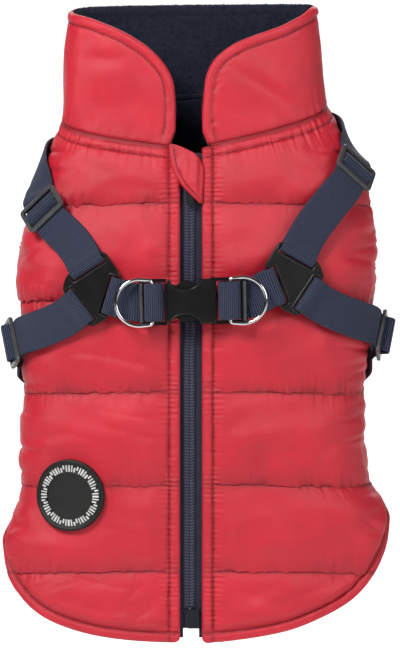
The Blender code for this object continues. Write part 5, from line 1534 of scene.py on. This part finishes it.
def harness():
    plates = {label: joiner(**place) for label, place in JOINERS.items()}
    for label, strap in STRAPS.items():
        plate = plates[label.split("_")[1]]
        bar, outward = bar_of(plate, strap["arm"])
        start = np.array([plate["along"], plate["z"]]) + bar
        spots = [(float(distance_round(angle, z)), z)
                 for angle, z in (strap["slider"], *strap["behind"])]
        places = [start - outward * 7.0, start, start + outward * 8.0, *spots]
        pins = {1: pin_on(plate, strap["arm"], -8.0, 7.0)}
        first = Route(places, 1, pins)
        reach = first.marks[3]
        ahead, _, out = first.directions(reach)
        pins[3] = (-SLIDER_ZONE, SLIDER_ZONE, first.at(reach, first.line), ahead, out)
        route = Route(places, 1, pins)
        webbing("webbing_" + label, "strap_" + label, route,
                side_strap_line(float(route.marks[3]), float(route.u[-1]) - 1.0, strap["bulge"]))
    line = [(float(distance_round(float(angle_of(x, z)), z)), z) for x, z in CENTRE_LINE]
    ends = {}
    for label, plate in plates.items():
        bar, outward = bar_of(plate, "inner")
        bar = np.array([plate["along"], plate["z"]]) + bar
        ends[label] = [bar - outward * 7, bar, bar + outward * 3]
    places = [*ends["left"], *line, *ends["right"][::-1]]
    middle, last = 3 + len(CENTRE_LINE) // 2, len(places) - 2
    pins = {1: pin_on(plates["left"], "inner", -7.0, 4.0),
            last: pin_on(plates["right"], "inner", -3.2, 7.0, way=-1)}
    first = Route(places, middle, pins)
    ahead, _, out = first.directions(0.0)
    pins[middle] = (*BUCKLE_ZONE, first.at(0.0, first.line), ahead, out)
    route = Route(places, middle, pins)
    place = (route.at(0.0, route.line), *route.directions(0.0))
    ring("left", -1, place)
    ring("right", 1, place)
    for side, label, bar_end, mark in ((-1, "left", 26.8, 1), (1, "right", 29.2, last)):
        webbing("webbing_centre_" + label, "strap_centre_" + label, route,
                centre_strap_line(side, bar_end, side * float(route.marks[mark])))
    joiner_rims(plates)
    ladder_beads(place)


# ================================================================ stage
def area_light(name, place, aim, size, power):
    light = bpy.data.lights.new(name, "AREA")
    light.shape = "RECTANGLE"
    light.size, light.size_y = size
    light.energy = power
    thing = put_in_scene(name, light)
    thing.location = place
    thing.rotation_euler = (Vector(aim) - Vector(place)).to_track_quat("-Z", "Y").to_euler()


def sweep():
    """Pale floor that rises into a wall far behind, in metres."""
    paint = Paint("backdrop", (0.93, 0.93, 0.93), 0.9, specular=0.1)
    grain = paint.noise(paint.where(), 3.0, Detail=2.0)
    paint.colour(paint.ramp(grain, greys(0.3, 0.925, 0.7, 0.935)))
    level, front, back, radius, top, half_width = -0.62, -10.0, 6.5, 2.0, 8.0, 12.0
    profile = [(front, level), (back, level)]
    profile += [(back + radius * math.sin(turn), level + radius * (1 - math.cos(turn)))
                for turn in np.linspace(0, math.pi / 2, 24)[1:]] + [(back + radius, top)]
    points = [(x, y, z) for y, z in profile for x in (-half_width, half_width)]
    faces = [(2 * k, 2 * k + 1, 2 * k + 3, 2 * k + 2) for k in range(len(profile) - 1)]
    mesh = bpy.data.meshes.new("floor")
    mesh.from_pydata(points, [], faces)
    mesh.shade_smooth()
    mesh.materials.append(paint.material)
    put_in_scene("floor", mesh)


def lighting():
    world = bpy.data.worlds.new("studio")
    bpy.context.scene.world = world
    world.use_nodes = True
    nodes, links = world.node_tree.nodes, world.node_tree.links
    split = nodes.new("ShaderNodeSeparateXYZ")
    links.new(nodes.new("ShaderNodeTexCoord").outputs["Generated"], split.inputs[0])
    rise = nodes.new("ShaderNodeMapRange")
    ranges = {"From Min": -0.7, "From Max": 0.9, "To Min": 0.12, "To Max": 0.99}
    for socket, value in ranges.items():
        rise.inputs[socket].default_value = value
    links.new(split.outputs["Z"], rise.inputs["Value"])
    links.new(rise.outputs["Result"], nodes["Background"].inputs["Strength"])
    area_light("key", (-0.8, -1.15, 0.95), (0, 0, -0.05), (0.6, 0.6), 26.5)
    area_light("fill", (1.7, -1.6, 0.5), (0, 0, -0.09), (1.2, 1.2), 17.0)
    area_light("rear", (0.7, 2.0, 1.4), (0, 0, -0.09), (1.4, 1.4), 9.0)
    area_light("back_wall", (0.0, 4.5, 2.6), (0, 5.3, -0.6), (7.0, 3.8), 330.0)
    bpy.context.scene.view_settings.view_transform = "Standard"


def view():
    """Camera at the photograph's angle; field is the frame's longer side where it aims."""
    distance, field, elevation = 3.5, 0.3323, math.radians(4.2)
    target = Vector((4.6 * MM, -38 * MM, -89.2 * MM))
    camera = bpy.data.cameras.new("camera")
    camera.sensor_width = 36.0
    camera.lens = camera.sensor_width / 2 / (field / 2 / distance)
    camera.clip_end = 20.0
    thing = put_in_scene("camera", camera)
    way = Vector((0.0, -math.cos(elevation), math.sin(elevation)))
    thing.location = target + way * distance
    thing.rotation_euler = (-way).to_track_quat("-Z", "Y").to_euler()
    bpy.context.scene.camera = thing


for step in (sweep, lighting, view, cloth, sewing, seam_fill, leg_bindings, collar, flap, zip_looks,
             patch, harness, put_materials):
    step()
